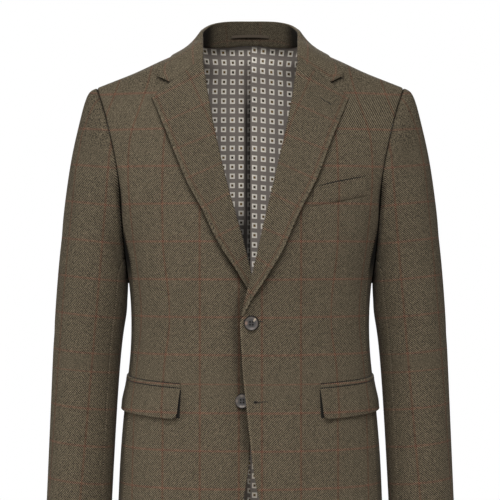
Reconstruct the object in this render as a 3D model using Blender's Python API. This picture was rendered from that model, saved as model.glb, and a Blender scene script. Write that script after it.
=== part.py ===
"""Two-button notch-lapel blazer, filled out as if worn, one thin closed wall per cut piece.

Units are metres, +Z is up, the front faces -Y, and the origin is the middle of the neck between the
shoulders. Every piece is drawn for the wearer's left (+X) and mirrored for the right.
"""

import math

import bpy
import bmesh
import numpy as np
from mathutils import Matrix

MM = 0.001

# Cloth walls
SHELL_WALL = 2.4 * MM
SLEEVE_WALL = 2.0 * MM
TURNED_WALL = 1.6 * MM
LINING_WALL = 1.0 * MM
POCKET_WALL = 1.8 * MM
SEAM_GAP = 0.36 * MM
TORSO_REACH = 0.26
SEAM_TURN = SEAM_GAP / TORSO_REACH
SLEEVE_REACH = 0.055
ARMHOLE_GAP = 1.5 * MM
UNDERARM_STEP = 3.0 * MM
NECK_GAP = 1.3 * MM
NECK_EASE = 0.0046
LINING_NECK_EASE = 0.006

# Heights, measured down from the shoulder line
HEM_DROP = 716.0 * MM
BACK_HEM_DROP = 708.0 * MM
LINING_HEM_DROP = 688.0 * MM
SHEAR_DEPTH = 260.0 * MM
SECTION_POWER = 2.4
FRONT_SIDE_SEAM = math.radians(69.0)
BACK_SIDE_SEAM = math.radians(112.0)
NECK_HALF = 78.0 * MM
NECK_HALF_LOW = 71.4 * MM
NECK_DEPTH = 36.0 * MM

# Turned edges: fold radius at the lapel's foot and at the collar, and how high the lapel lies
FOLD_FOOT = 1.25 * MM
FOLD_TOP = 2.1 * MM
FOLD_COLLAR = 2.1 * MM
LAPEL_LIFT = 3.9 * MM
LAPEL_RISE = 0.4 * MM
LAPEL_BELLY = 0.9 * MM
ROLL_TUCK = 1.0 * MM
COLLAR_LIFT = 3.7 * MM
COLLAR_SAG = 3.0 * MM
LAPEL_FOOT_Z = -373.0
EDGE_FADE = 8.0 * MM
GORGE_INNER = (67.5, -7.0)
NOTCH_CORNER = (114.2, -40.2)
LAPEL_TIP = (141.3, -60.8)
COLLAR_TIP = (131.5, -31.3)
GORGE_SHARE = 0.72

# Pockets and buttons
WELT_CORNERS = ((89.5, -192.5), (167.5, -175.5), (86.8, -220.3), (167.0, -204.0))
FLAP_START_X = 101.5
FLAP_LENGTH = 150.0
FLAP_DEPTH = 44.0
FLAP_TOP_Z = -478.0
FLAP_RISE = 9.0
FLAP_SLANT = 4.0
FLAP_REACH = 0.15
JETTING_HEIGHT = 5.6
UPPER_BUTTON = (3.2, -384.3)
LOWER_BUTTON = (10.9, -495.6)
BUTTON_CUT_DEPTH = 14.0 * MM
BUTTON_SEAT = 0.3 * MM
BUTTON_HOLE_RADIUS = 0.95 * MM
BUTTON_HOLE_PITCH = 1.75 * MM
BUTTON_SEGMENTS = 24
LOOP_LENGTH = 56.0 * MM
LOOP_HEIGHT = 7.0 * MM
LOOP_WALL = 1.2 * MM
LOOP_CLEARANCE = 1.5 * MM
LOOP_BOW = 1.6 * MM
LOOP_SHARE = 0.40
LOOP_COLUMNS = 9
PLEAT_UNDERLAP = 16.0 * MM
PLEAT_LIFT = 2.6 * MM
LINING_INSET = 3.2 * MM
LINING_SEAM_INSET = 2.3 * MM
PLEAT_FADE = 75.0 * MM
TRIM_CLEARANCE = 0.9 * MM
FLAP_STAND_OFF = 1.4 * MM

# Torso sections: drop, half width, front depth, back depth (mm)
TORSO = (
    (0, 238, 0, 0),
    (8, 240, 26, 34),
    (20, 241, 42, 54),
    (50, 241, 67, 82),
    (80, 239.5, 84, 95),
    (135, 227, 109, 110),
    (180, 214.7, 121, 116),
    (228, 201, 128, 118.5),
    (275, 187.8, 130, 116),
    (310, 180.6, 128.5, 110),
    (350, 176, 125, 101.5),
    (400, 174.6, 120.5, 95),
    (440, 176.6, 118.5, 96),
    (480, 181, 118, 100),
    (540, 187.2, 119, 108),
    (600, 191.5, 121, 114),
    (660, 194, 122.5, 117),
    (720, 196.3, 123, 118),
)

# Shoulder line: half width, height (mm)
SHOULDER_LINE = (
    (0, 55),
    (40, 45.5),
    (60, 36),
    (78, 26),
    (95, 15.8),
    (112, 6.4),
    (131, -2.0),
    (162, -16.5),
    (198, -31.2),
    (227, -42.4),
    (250, -51.5),
)

# Armhole: height, front half width, back half width (mm); the foot reaches the side
ARMHOLE = (
    (-42.5, 226.5, 226.5),
    (-70, 218, 219.5),
    (-100, 209.5, 212.5),
    (-140, 199.5, 203.5),
    (-180, 191.5, 197),
    (-215, 187, 191.5),
    (-250, 184.5, 187),
    (-285, 182, 183.5),
    (-310, 179.3, 180),
)
ARMHOLE_TURN_Z = -290.0
ARMHOLE_FOOT_Z = -330.0

# Front edge and roll line: height, lapping front, under front (mm past the centre is negative)
FRONT_EDGE = (
    (-10, 67.0, 67.0),
    (-58.7, 59.7, 59.7),
    (-106.7, 50.8, 50.8),
    (-153.4, 40, 40.5),
    (-199, 29.3, 29.0),
    (-246, 18, 15.5),
    (-291, 8, 3.7),
    (-322, 0, -3.8),
    (-346, -6.6, -9.5),
    (-367, -11.4, -14.0),
    (-387, -14, -16.5),
    (-408, -13, -15.0),
    (-450, -10.6, -11.0),
    (-494, -6.5, -6.5),
    (-556, 0, -1.0),
    (-592, 4.4, 2.5),
    (-630, 11.6, 9.0),
    (-660, 20.5, 18.5),
    (-685, 35, 34),
    (-702, 55, 54.5),
    (-711, 78, 78),
    (-716, 104, 104),
)

# Lapel outer edge: height, lapping front, under front (mm)
LAPEL_EDGE = (
    (-373, -9.0, -11.2),
    (-357, -1.6, -6.5),
    (-346, 4, -2.0),
    (-336, 11, 3.0),
    (-322, 20.1, 11.5),
    (-306, 29.7, 21.3),
    (-281, 45.2, 38.6),
    (-257, 56.4, 53),
    (-219, 74.5, 71.5),
    (-196, 87, 85),
    (-165, 101.5, 100),
    (-125, 116.6, 116.6),
    (-96, 128.3, 128.3),
    (-60.8, 141.3, 141.3),
)

# How far the fronts part at the closing: height, half lift (mm)
CLOSING = (
    (-90, 0),
    (-200, 0.9),
    (-300, 3.2),
    (-384, 3.3),
    (-450, 3.7),
    (-500, 4.1),
    (-580, 3.9),
    (-720, 3.0),
)
CLOSING_FADE = (30.0 * MM, 100.0 * MM)

# Button profile from the middle of its back to the middle of its face: radius, height (mm)
BUTTON_PROFILE = (
    (0, 0),
    (6.8, 0),
    (9.3, 0.7),
    (10, 1.6),
    (9.9, 2.5),
    (9.2, 3.4),
    (8.2, 3.4),
    (7.1, 2.7),
    (5.2, 2.4),
    (0, 2.3),
)

# Sleeve: along, outer x, outer z, inner x, inner z, mid y, half depth (mm)
SLEEVE = (
    (0.00, 227.5, -42.6, 182.5, -330, 2, 70),
    (0.03, 237, -47.5, 183, -331, 2, 71),
    (0.06, 243, -58, 183, -332, 2, 71.5),
    (0.12, 250.8, -86, 182.8, -335, 2, 71),
    (0.25, 262.2, -140, 182.4, -343, 1.5, 69.5),
    (0.42, 273, -213, 183, -357, 0.5, 67),
    (0.58, 281.8, -300, 184.6, -379, -1.5, 63.5),
    (0.72, 288.3, -400, 190.4, -421, -5, 59.5),
    (0.84, 292.4, -500, 196.6, -503, -10, 54.5),
    (1.00, 298.6, -667, 205, -667, -21, 47),
)
SLEEVE_POWER = 2.15
HEAD_BLEND = 0.30
TOP_SLEEVE_SPAN = (math.radians(-86.0), math.radians(136.0))

# Collar: fold x, y, z, neck seam x, neck level, fall edge x, edge level (mm; level is front -, back +)
COLLAR = (
    (0, 66, 64.5, 0, 0.173, 0, 0.209),
    (36.5, 60.5, 63.3, 33, 0.160, 42, 0.188),
    (59, 44, 57, 57, 0.122, 72, 0.145),
    (68, 23, 48.8, 71, 0.068, 94, 0.080),
    (71.3, 4, 41.5, 78, 0.0, 109, 0.0),
    (70.3, -13, 29.5, 76.8, -0.050, 118, -0.075),
    (69.7, -34.5, 15.6, 75, -0.112, 125.5, -0.130),
    (67.5, -57, -7, 71, -0.190, 131.5, -0.180),
)

# Rows down the torso panels: drop (mm)
PANEL_DROPS = (0, 2, 9, 22, 42, 68, 98, 130, 162, 194, 222, 248, 272, 298, 328, 362, 398, 434, 470, 508,
               548, 588, 626, 660, 690, 708, 716)
FRONT_COLUMNS = 12
BACK_COLUMNS = 12
NECK_COLUMNS = 6
SHOULDER_ROW = 4
SIDE_COLUMNS = 5
SLEEVE_ROWS = 19
TOP_SLEEVE_COLUMNS = 16
UNDER_SLEEVE_COLUMNS = 8
LAPEL_ROWS = 17
LAPEL_LAY_COLUMNS = 6
COLLAR_ROWS = 15
STAND_COLUMNS = 3
FALL_COLUMNS = 6
FLAP_ROWS = 5
FLAP_COLUMNS = 12
WELT_ROWS = 4
WELT_COLUMNS = 8
FOLD_ANGLES = tuple(math.radians(a) for a in (-90, -45, 0, 45, 90))

CLOTH = (0.115, 0.095, 0.066)
LAPEL_CLOTH = (0.112, 0.092, 0.063)
LINING_CLOTH = (0.150, 0.127, 0.110)
HORN = (0.060, 0.048, 0.040)
TAPE = (0.062, 0.047, 0.032)


class Curve:
    """Natural cubic through a table: first column the knots, the others the values."""

    def __init__(self, rows, knots=None):
        rows = np.array(rows, float)
        self.t = rows[:, 0] if knots is None else np.array(knots, float)
        self.v = rows[:, 1:]
        if self.t[0] > self.t[-1]:
            self.t = self.t[::-1]
            self.v = self.v[::-1]
        step = np.diff(self.t)
        size = len(self.t)
        system = np.eye(size)
        right = np.zeros_like(self.v)
        for i in range(1, size - 1):
            system[i, i - 1] = step[i - 1]
            system[i, i] = 2 * (step[i - 1] + step[i])
            system[i, i + 1] = step[i]
            rise = (self.v[i + 1] - self.v[i]) / step[i]
            fall = (self.v[i] - self.v[i - 1]) / step[i - 1]
            right[i] = 6 * (rise - fall)
        self.bend = np.linalg.solve(system, right)

    def __call__(self, at):
        at = np.clip(np.asarray(at, float), self.t[0], self.t[-1])
        k = np.clip(np.searchsorted(self.t, at) - 1, 0, len(self.t) - 2)
        step = (self.t[k + 1] - self.t[k])[..., None]
        a = (self.t[k + 1] - at)[..., None] / step
        b = 1 - a
        cubic = ((a**3 - a) * self.bend[k] + (b**3 - b) * self.bend[k + 1]) * step**2 / 6
        return a * self.v[k] + b * self.v[k + 1] + cubic


def smooth(low, high, value):
    t = np.clip((value - low) / (high - low), 0, 1)
    return t * t * (3 - 2 * t)


def lerp(a, b, t):
    return a + (b - a) * t


def unit(v):
    return v / np.maximum(np.linalg.norm(v, axis=-1, keepdims=True), 1e-12)


TORSO_CURVE = Curve(np.array(TORSO, float) * MM, np.sqrt(np.array(TORSO, float)[:, 0] * MM))
MIRRORED_SHOULDER = [(-x, z) for x, z in SHOULDER_LINE[:0:-1]] + list(SHOULDER_LINE)
SHOULDER_CURVE = Curve(np.array(MIRRORED_SHOULDER, float) * MM)
ARMHOLE_CURVE = Curve(np.array(ARMHOLE, float) * MM)
EDGE_CURVE = Curve(np.array(FRONT_EDGE, float) * MM)
LAPEL_CURVE = Curve(np.array(LAPEL_EDGE, float) * MM)
CLOSING_CURVE = Curve(np.array(CLOSING, float) * MM)
SLEEVE_CURVE = Curve([(row[0],) + tuple(MM * v for v in row[1:]) for row in SLEEVE])


def shear(drop):
    return 1 - smooth(0, SHEAR_DEPTH, drop)


def torso(angle, level):
    """Torso point: angle 0 is the centre front, 90 degrees the side, 180 the centre back."""
    angle, level = np.broadcast_arrays(np.asarray(angle, float), np.asarray(level, float))
    size = TORSO_CURVE(np.abs(level))
    drop = level**2
    side = np.sin(angle)
    ahead = np.cos(angle)
    x = np.sign(side) * size[..., 0] * np.abs(side) ** (2 / SECTION_POWER)
    depth = np.where(ahead >= 0, -size[..., 1], size[..., 2])
    y = depth * np.abs(ahead) ** (2 / SECTION_POWER)
    z = SHOULDER_CURVE(x)[..., 0] * shear(drop) - drop
    return np.stack([x, y, z], -1)


def torso_normal(angle, level):
    small = 1e-3
    level = np.maximum(level, 2 * small)
    along = torso(angle + small, level) - torso(angle - small, level)
    down = torso(angle, level + small) - torso(angle, level - small)
    return -unit(np.cross(along, down))


def angle_at(x, level):
    width = TORSO_CURVE(np.abs(level))[..., 0]
    return np.sign(x) * np.arcsin(np.clip(np.abs(x) / width, 0, 1) ** (SECTION_POWER / 2))


def level_at(x, z):
    drop = np.maximum(-np.asarray(z, float), 0)
    line = SHOULDER_CURVE(x)[..., 0]
    for _ in range(30):
        drop = np.maximum(line * shear(drop) - z, 0)
    return np.sqrt(drop)


def closing(x, z, over):
    lift = CLOSING_CURVE(z)[..., 0] * (1 - smooth(*CLOSING_FADE, x))
    return lift if over else -lift


def front_point(x, z, lift, over):
    """A point on a front, at a half width and a height in the front view, moved out by lift."""
    x, z, lift = np.broadcast_arrays(np.asarray(x, float), np.asarray(z, float), np.asarray(lift, float))
    level = level_at(x, z)
    angle = angle_at(x, level)
    out = (lift + closing(x, z, over))[..., None]
    return torso(angle, level) + torso_normal(angle, level) * out


def surface_point(x, signed_level, lift):
    """A point by half width and signed level (front -, back +), moved out by lift."""
    x, signed_level = np.broadcast_arrays(np.asarray(x, float), np.asarray(signed_level, float))
    level = np.abs(signed_level)
    angle = angle_at(x, level)
    angle = np.where(signed_level > 0, math.pi - angle, angle)
    return torso(angle, level) + torso_normal(angle, level) * np.asarray(lift)[..., None]


def armhole_line(back, count=120):
    """Angle and level along one branch of the armhole, from the shoulder tip to the foot."""
    z = np.linspace(ARMHOLE[0][0] * MM, ARMHOLE_FOOT_Z * MM, count)
    x = ARMHOLE_CURVE(z)[..., 1 if back else 0]
    level = level_at(x, z)
    level[0] = 0.0
    width = TORSO_CURVE(level)[..., 0]
    to_foot = smooth(-ARMHOLE_TURN_Z, -ARMHOLE_FOOT_Z, -z / MM)
    x = lerp(x, width, to_foot**2)
    angle = np.arcsin(np.clip(x / width, 0, 1) ** (SECTION_POWER / 2))
    angle[-1] = math.pi / 2
    return (math.pi - angle if back else angle), level


FRONT_ARM = armhole_line(False)
BACK_ARM = armhole_line(True)


def fold_radius(z):
    return lerp(FOLD_FOOT, FOLD_TOP, smooth(LAPEL_FOOT_Z * MM, -0.25, z))


def roll_x(z, over):
    return EDGE_CURVE(z)[..., 0 if over else 1]


def front_inner_x(level, over):
    """Half width of a front's inner edge: the cut edge low down, the roll and the neck seam above."""
    drop = level**2
    z = -drop
    foot = LAPEL_FOOT_Z * MM
    for _ in range(30):
        set_back = fold_radius(z) + TURNED_WALL / 2 + ROLL_TUCK
        x = roll_x(z, over) + set_back * smooth(foot - EDGE_FADE, foot, z)
        z = SHOULDER_CURVE(x)[..., 0] * shear(drop) - drop
    neck = lerp(NECK_HALF, NECK_HALF_LOW, smooth(0, NECK_DEPTH, drop)) + NECK_GAP
    return lerp(neck, x, smooth(NECK_DEPTH - EDGE_FADE, NECK_DEPTH + EDGE_FADE, drop))


def panel_levels(last_drop):
    drops = np.array([d for d in PANEL_DROPS if d * MM < last_drop - 0.004] + [last_drop / MM]) * MM
    levels = np.sqrt(drops)
    levels[0] = 0.0008
    return levels


def front_grid(over):
    levels = panel_levels(HEM_DROP)
    inner = angle_at(front_inner_x(levels, over), levels) + SEAM_TURN
    arm = np.interp(levels, FRONT_ARM[1], FRONT_ARM[0])
    outer = np.where(levels < FRONT_ARM[1][-1], np.minimum(arm, FRONT_SIDE_SEAM), FRONT_SIDE_SEAM)
    outer = outer - SEAM_TURN
    across = np.linspace(0, 1, FRONT_COLUMNS)
    angle = lerp(inner[:, None], outer[:, None], across)
    level = np.repeat(levels[:, None], FRONT_COLUMNS, 1)
    points = torso(angle, level)
    normals = torso_normal(angle, level)
    return points + normals * closing(points[..., 0], points[..., 2], over)[..., None], normals


def side_grid():
    angle = np.linspace(FRONT_SIDE_SEAM, BACK_SIDE_SEAM, SIDE_COLUMNS)
    angle[0] += SEAM_TURN
    angle[-1] -= SEAM_TURN
    arm_angle = np.concatenate([FRONT_ARM[0][40:], BACK_ARM[0][:40:-1]])
    arm_level = np.concatenate([FRONT_ARM[1][40:], BACK_ARM[1][:40:-1]])
    order = np.argsort(arm_angle)
    top = np.interp(angle, arm_angle[order], arm_level[order]) + 0.6 * MM
    levels = panel_levels(HEM_DROP)
    levels = np.concatenate([[0.0], levels[levels > 0.545]])
    share = (levels - levels[1]) / (levels[-1] - levels[1])
    hem = np.sqrt(lerp(HEM_DROP, BACK_HEM_DROP, smooth(0, 1, np.linspace(0, 1, SIDE_COLUMNS))))
    level = lerp(top[None, :] + 0.02, hem[None, :], share[:, None])
    level[0] = top
    angle = np.repeat(angle[None, :], len(level), 0)
    return torso(angle, level), torso_normal(angle, level)


def back_arm(level):
    arm = np.interp(level, BACK_ARM[1], BACK_ARM[0])
    return np.where(level < BACK_ARM[1][-1], np.maximum(arm, BACK_SIDE_SEAM), BACK_SIDE_SEAM)


def neck_edge(count):
    """Half width and level of the back neck edge, from the centre to the shoulder, clear of the stand."""
    place = np.linspace(0, SHOULDER_ROW, count)
    row = COLLAR_CURVE(place)
    turn = place / SHOULDER_ROW
    return row[:, 3] * MM + NECK_GAP * turn, row[:, 4] + NECK_EASE * (1 - turn**4)


def back_grid(first_x, hem_drop, top_gap, inset=0.0, pleat=0.0):
    """A half of the back, or of its lining when inset is set, from the centre to the side."""
    levels = panel_levels(hem_drop)
    share = (levels - levels[-1]) / (levels[0] - levels[-1])
    neck_x, neck = neck_edge(NECK_COLUMNS)
    across = angle_at(neck_x, neck) / (math.pi - back_arm(neck))
    across = np.concatenate([across, np.linspace(across[-1], 1, BACK_COLUMNS - NECK_COLUMNS + 1)[1:]])
    top = np.concatenate([neck, np.zeros(BACK_COLUMNS - NECK_COLUMNS)])
    centre = np.full(BACK_COLUMNS, SEAM_GAP / 2)
    if first_x < 0:
        across = np.concatenate([[0], across])
        top = np.concatenate([top[:1], top])
        centre = np.concatenate([[first_x], centre])
    top = np.maximum(top + top_gap, levels[0])
    level = lerp(levels[-1], top[None, :], share[:, None])
    middle = math.pi - angle_at(np.repeat(centre[None, :], len(level), 0), level)
    angle = lerp(middle, back_arm(level) + SEAM_TURN, across[None, :])
    points = torso(angle, level)
    normals = torso_normal(angle, level)
    sewn = lerp(inset, min(inset, LINING_SEAM_INSET), smooth(0.85, 1.0, across))
    shift = sewn + pleat * (1 - smooth(0.0, PLEAT_FADE, points[..., 0]))
    return points - normals * shift[..., None], normals


def sleeve_point(along, turn):
    """Sleeve point: along 0 at the armhole, 1 at the cuff; turn 0 is the outside, 90 degrees the front."""
    along, turn = np.broadcast_arrays(np.asarray(along, float), np.asarray(turn, float))

    def ring(at):
        size = SLEEVE_CURVE(at)
        outer = np.stack([size[..., 0], size[..., 4], size[..., 1]], -1)
        inner = np.stack([size[..., 2], size[..., 4], size[..., 3]], -1)
        c = np.sign(np.cos(turn)) * np.abs(np.cos(turn)) ** (2 / SLEEVE_POWER)
        s = np.sign(np.sin(turn)) * np.abs(np.sin(turn)) ** (2 / SLEEVE_POWER)
        point = (outer + inner) / 2 + (outer - inner) / 2 * c[..., None]
        point[..., 1] -= size[..., 5] * s
        return point

    start = ring(np.zeros_like(along))
    reach = np.clip((start[..., 2] - ARMHOLE_FOOT_Z * MM) / (ARMHOLE[0][0] - ARMHOLE_FOOT_Z) / MM, 0, 1)
    mates = []
    for angles, levels in (FRONT_ARM, BACK_ARM):
        line = torso(angles, levels)
        share = (line[:, 2] - line[-1, 2]) / (line[0, 2] - line[-1, 2])
        order = np.argsort(share)
        mates.append(np.stack([np.interp(reach, share[order], line[order, k]) for k in range(3)], -1))
    mate = np.where((np.sin(turn) >= 0)[..., None], mates[0], mates[1])
    mate[..., 0] += UNDERARM_STEP * (1 - smooth(0.0, 0.4, reach))
    fade = (1 - smooth(0, HEAD_BLEND, along))[..., None]
    return ring(along) + (mate - start) * fade


def sleeve_grid(first, last, columns):
    share = np.linspace(0, 1, SLEEVE_ROWS)
    along = 0.55 * share + 0.45 * share**1.6
    turn = np.linspace(first, last, columns)
    points = sleeve_point(along[:, None], turn[None, :])
    away = unit(sleeve_point(0.02, turn) - sleeve_point(0.0, turn))
    points[0] = points[0] + away * ARMHOLE_GAP
    small = 0.004
    low = np.maximum(along[:, None] - small, 0)
    high = np.minimum(along[:, None] + small, 1)
    down = sleeve_point(high, turn[None, :]) - sleeve_point(low, turn[None, :])
    ahead = sleeve_point(along[:, None], turn[None, :] + small)
    around = ahead - sleeve_point(along[:, None], turn[None, :] - small)
    return points, unit(np.cross(around, down))


def lapel_grid(over):
    rows = np.linspace(0, 1, LAPEL_ROWS)
    foot_z = LAPEL_FOOT_Z * MM
    roll_z = lerp(foot_z, GORGE_INNER[1] * MM, rows)
    edge_z = lerp(foot_z, LAPEL_TIP[1] * MM, rows)
    edge_x = LAPEL_CURVE(edge_z)[..., 0 if over else 1]
    radius = fold_radius(roll_z)
    start = roll_x(roll_z, over) + radius + TURNED_WALL / 2
    start[-1] = GORGE_INNER[0] * MM + radius[-1] + TURNED_WALL / 2
    roll_z[-1] -= SEAM_GAP
    edge_z[-1] -= SEAM_GAP
    columns = [front_point(start + ROLL_TUCK - SEAM_GAP, roll_z, 0.0, over)]
    for turn in FOLD_ANGLES:
        lift = radius * (1 + math.sin(turn))
        columns.append(front_point(start - radius * math.cos(turn), roll_z, lift, over))
    for v in np.linspace(0, 1, LAPEL_LAY_COLUMNS + 1)[1:]:
        x = lerp(start, edge_x, v)
        z = lerp(roll_z, edge_z, v)
        lift = lerp(2 * radius, np.minimum(LAPEL_LIFT, 2 * radius + LAPEL_RISE), v)
        lift = lift + LAPEL_BELLY * math.sin(math.pi * v) * smooth(0, 0.3, rows)
        columns.append(front_point(x, z, lift, over))
    return np.stack(columns, 1)


COLLAR_CURVE = Curve([(k,) + row for k, row in enumerate(COLLAR)])


def collar_row(place):
    """One section of the collar: neck seam, stand, fold and fall; place 0 is the centre back, 1 the gorge."""
    at = place * (len(COLLAR) - 1)
    here = COLLAR_CURVE(at)
    fold = here[:3] * MM
    small = 0.02
    step = COLLAR_CURVE(min(at + small, len(COLLAR) - 1))[:3] - COLLAR_CURVE(max(at - small, 0.0))[:3]
    if at < small:
        step = np.array([1.0, 0.0, 0.0])
    end = place >= 1
    lift = COLLAR_LIFT
    neck = surface_point(here[3] * MM, here[4], 0.0)
    edge = surface_point(here[5] * MM, here[6], lift)
    facing = unit(surface_point(here[3] * MM, here[4], 1.0) - neck)
    crest = unit(unit(fold - neck) + unit(fold - edge))
    if end:
        root_x = GORGE_INNER[0] * MM + FOLD_COLLAR + TURNED_WALL / 2
        root_z = GORGE_INNER[1] * MM + SEAM_GAP
        neck = front_point(root_x + ROLL_TUCK - SEAM_GAP, root_z, 0.0, True)
        middle = front_point(root_x, root_z, FOLD_COLLAR, True)
        fold = front_point(root_x - FOLD_COLLAR, root_z, FOLD_COLLAR, True)
        crest = unit(fold - middle)
        out = unit(front_point(root_x, root_z, 2 * FOLD_COLLAR, True) - middle)
    else:
        out = unit(np.cross(unit(step), crest))
        if out @ facing < 0:
            out = -out
    middle = fold - crest * FOLD_COLLAR
    turned = [middle + FOLD_COLLAR * (crest * math.cos(a) + out * math.sin(a)) for a in FOLD_ANGLES]
    base = neck + unit(turned[0] - neck) * SEAM_GAP
    stand = [lerp(base, turned[0], q) for q in np.linspace(0, 1, STAND_COLUMNS + 1)[:-1]]
    fall = []
    for v in np.linspace(0, 1, FALL_COLUMNS + 1)[1:]:
        if end:
            corners = np.array([(root_x / MM, GORGE_INNER[1]), NOTCH_CORNER, COLLAR_TIP]) * MM
            x = np.interp(v, (0, GORGE_SHARE, 1), corners[:, 0])
            z = np.interp(v, (0, GORGE_SHARE, 1), corners[:, 1])
            fall.append(front_point(x, z + SEAM_GAP, lerp(2 * FOLD_COLLAR, lift, v), True))
            continue
        chord = lerp(turned[-1], edge, v)
        x = lerp(here[3], here[5], v) * MM
        level = lerp(here[4], here[6], v)
        rest = surface_point(x, level, lift)
        normal = unit(surface_point(x, level, lift + 0.01) - rest)
        chord = chord - normal * COLLAR_SAG * math.sin(math.pi * v)
        under = (chord - rest) @ normal
        fall.append(chord + normal * max(0.0, -under))
    return np.array(stand + turned + fall)


def collar_grid():
    places = np.linspace(0, 1, COLLAR_ROWS)
    half = np.array([collar_row(p) for p in places])
    other = half[:0:-1] * np.array([-1.0, 1.0, 1.0])
    return np.concatenate([other, half])


def loop_grid():
    """The hanger loop: a strip across the inside of the collar stand, bowed off it between its ends."""
    rows = []
    for x in np.linspace(-LOOP_LENGTH / 2, LOOP_LENGTH / 2, LOOP_COLUMNS):
        row = collar_row(abs(x) / (COLLAR[1][0] * MM) / (len(COLLAR) - 1))
        foot, top = row[0], row[STAND_COLUMNS]
        away = (TURNED_WALL + LOOP_WALL) / 2 + LOOP_CLEARANCE
        away = away + LOOP_BOW * max(0.0, math.cos(math.pi * x / LOOP_LENGTH))
        strip = []
        for v in (-0.5, 0.0, 0.5):
            share = LOOP_SHARE + v * LOOP_HEIGHT / np.linalg.norm(top - foot)
            point = lerp(foot, top, share)
            inward = unit(np.array([-point[0], -COLLAR[0][1] * MM, 0.0]))
            point = point + inward * away
            strip.append((x, point[1], point[2]))
        rows.append(strip)
    return np.array(rows)


def welt_grid():
    across = np.linspace(0, 1, WELT_COLUMNS)[None, :]
    down = np.linspace(0, 1, WELT_ROWS)[:, None]
    corners = np.array(WELT_CORNERS) * MM
    top = lerp(corners[0], corners[1], across[..., None])
    low = lerp(corners[2], corners[3], across[..., None])
    place = lerp(top, low, down[..., None])
    lift = (SHELL_WALL + POCKET_WALL) / 2 + TRIM_CLEARANCE
    return front_point(place[..., 0], place[..., 1], lift, True)


def flap_angles(count):
    """Angles that step evenly along the cloth from the flap's front end, round to its back end."""
    level = math.sqrt(-(FLAP_TOP_Z - FLAP_DEPTH / 2) * MM)
    start = angle_at(FLAP_START_X * MM, level)
    fine = np.linspace(start, BACK_SIDE_SEAM, 400)
    line = torso(fine, level)
    length = np.concatenate([[0], np.cumsum(np.linalg.norm(np.diff(line, axis=0), axis=1))])
    return np.interp(np.linspace(0, FLAP_LENGTH * MM, count), length, fine)


def pocket_strip(top_drop, low_drop, rows, lift_top, lift_low, slant):
    """A strip along the hip pocket, between two drops below the flap's top line."""
    angles = flap_angles(FLAP_COLUMNS)
    share = np.linspace(0, 1, FLAP_COLUMNS)
    grid = []
    for v in np.linspace(0, 1, rows):
        drop = lerp(top_drop, low_drop, v)
        z = (FLAP_TOP_Z + FLAP_RISE * share - drop) * MM
        turn = angles + slant * MM * (drop / FLAP_DEPTH) * (1 - share) ** 2 / FLAP_REACH
        level = np.sqrt(-z)
        out = lerp(lift_top, lift_low, v)
        grid.append(torso(turn, level) + torso_normal(turn, level) * out)
    return np.array(grid)


def flap_grid():
    low = (SHELL_WALL + POCKET_WALL) / 2 + TRIM_CLEARANCE
    return pocket_strip(SEAM_GAP / MM, FLAP_DEPTH, FLAP_ROWS, low, low + FLAP_STAND_OFF, FLAP_SLANT)


def jetting_grid():
    low = (SHELL_WALL + POCKET_WALL) / 2 + TRIM_CLEARANCE
    return pocket_strip(-JETTING_HEIGHT, 0.0, 2, low - SEAM_GAP, low, 0.0)


def normals_of(grid):
    return unit(np.cross(np.gradient(grid, axis=0), np.gradient(grid, axis=1)))


def material(name, colour, rough):
    made = bpy.data.materials.new(name)
    made.use_nodes = True
    shader = made.node_tree.nodes["Principled BSDF"]
    shader.inputs["Base Color"].default_value = (*colour, 1.0)
    shader.inputs["Roughness"].default_value = rough
    shader.inputs["Metallic"].default_value = 0.0
    return made


def add_object(name, mesh, colour, rough):
    made = bpy.data.objects.new(name, mesh)
    made.data.materials.append(material(name, colour, rough))
    bpy.context.scene.collection.objects.link(made)
    return made


def wall(name, shape, thickness, colour, rough=0.85, side=1):
    """A closed wall about a grid of points, or a grid and its normals, mirrored for the wearer's right."""
    grid, normals = shape if isinstance(shape, tuple) else (shape, normals_of(shape))
    rows, columns = grid.shape[:2]
    offset = normals * thickness / 2
    points = np.concatenate([(grid + offset).reshape(-1, 3), (grid - offset).reshape(-1, 3)])
    points = points * np.array([side, 1.0, 1.0])
    index = np.arange(rows * columns).reshape(rows, columns)
    back = index + rows * columns
    faces = []
    for i in range(rows - 1):
        for j in range(columns - 1):
            faces.append((index[i, j], index[i, j + 1], index[i + 1, j + 1], index[i + 1, j]))
            faces.append((back[i, j], back[i + 1, j], back[i + 1, j + 1], back[i, j + 1]))
    rim = list(index[0]) + list(index[1:, -1]) + list(index[-1, -2::-1]) + list(index[-2:0:-1, 0])
    for a, b in zip(rim, rim[1:] + rim[:1]):
        faces.append((b, a, a + rows * columns, b + rows * columns))
    mesh = bpy.data.meshes.new(name)
    mesh.from_pydata(points.tolist(), [], [tuple(int(k) for k in f) for f in faces])
    built = bmesh.new()
    built.from_mesh(mesh)
    bmesh.ops.recalc_face_normals(built, faces=built.faces)
    if built.calc_volume(signed=True) < 0:
        bmesh.ops.reverse_faces(built, faces=built.faces)
    built.to_mesh(mesh)
    built.free()
    return add_object(name, mesh, colour, rough)


def lathe(name, profile, segments):
    """A closed turned mesh about +Z from (radius, height) rows that start and end on the axis."""
    points = [(0.0, 0.0, profile[0][1])]
    for radius, height in profile[1:-1]:
        for k in range(segments):
            turn = 2 * math.pi * k / segments
            points.append((radius * math.cos(turn), radius * math.sin(turn), height))
    points.append((0.0, 0.0, profile[-1][1]))
    rings = len(profile) - 2
    last = len(points) - 1
    faces = []
    for k in range(segments):
        n = (k + 1) % segments
        faces.append((0, 1 + n, 1 + k))
        for r in range(rings - 1):
            a = 1 + r * segments
            faces.append((a + k, a + n, a + segments + n, a + segments + k))
        a = 1 + (rings - 1) * segments
        faces.append((a + k, a + n, last))
    mesh = bpy.data.meshes.new(name)
    mesh.from_pydata(points, [], faces)
    return mesh


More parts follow.
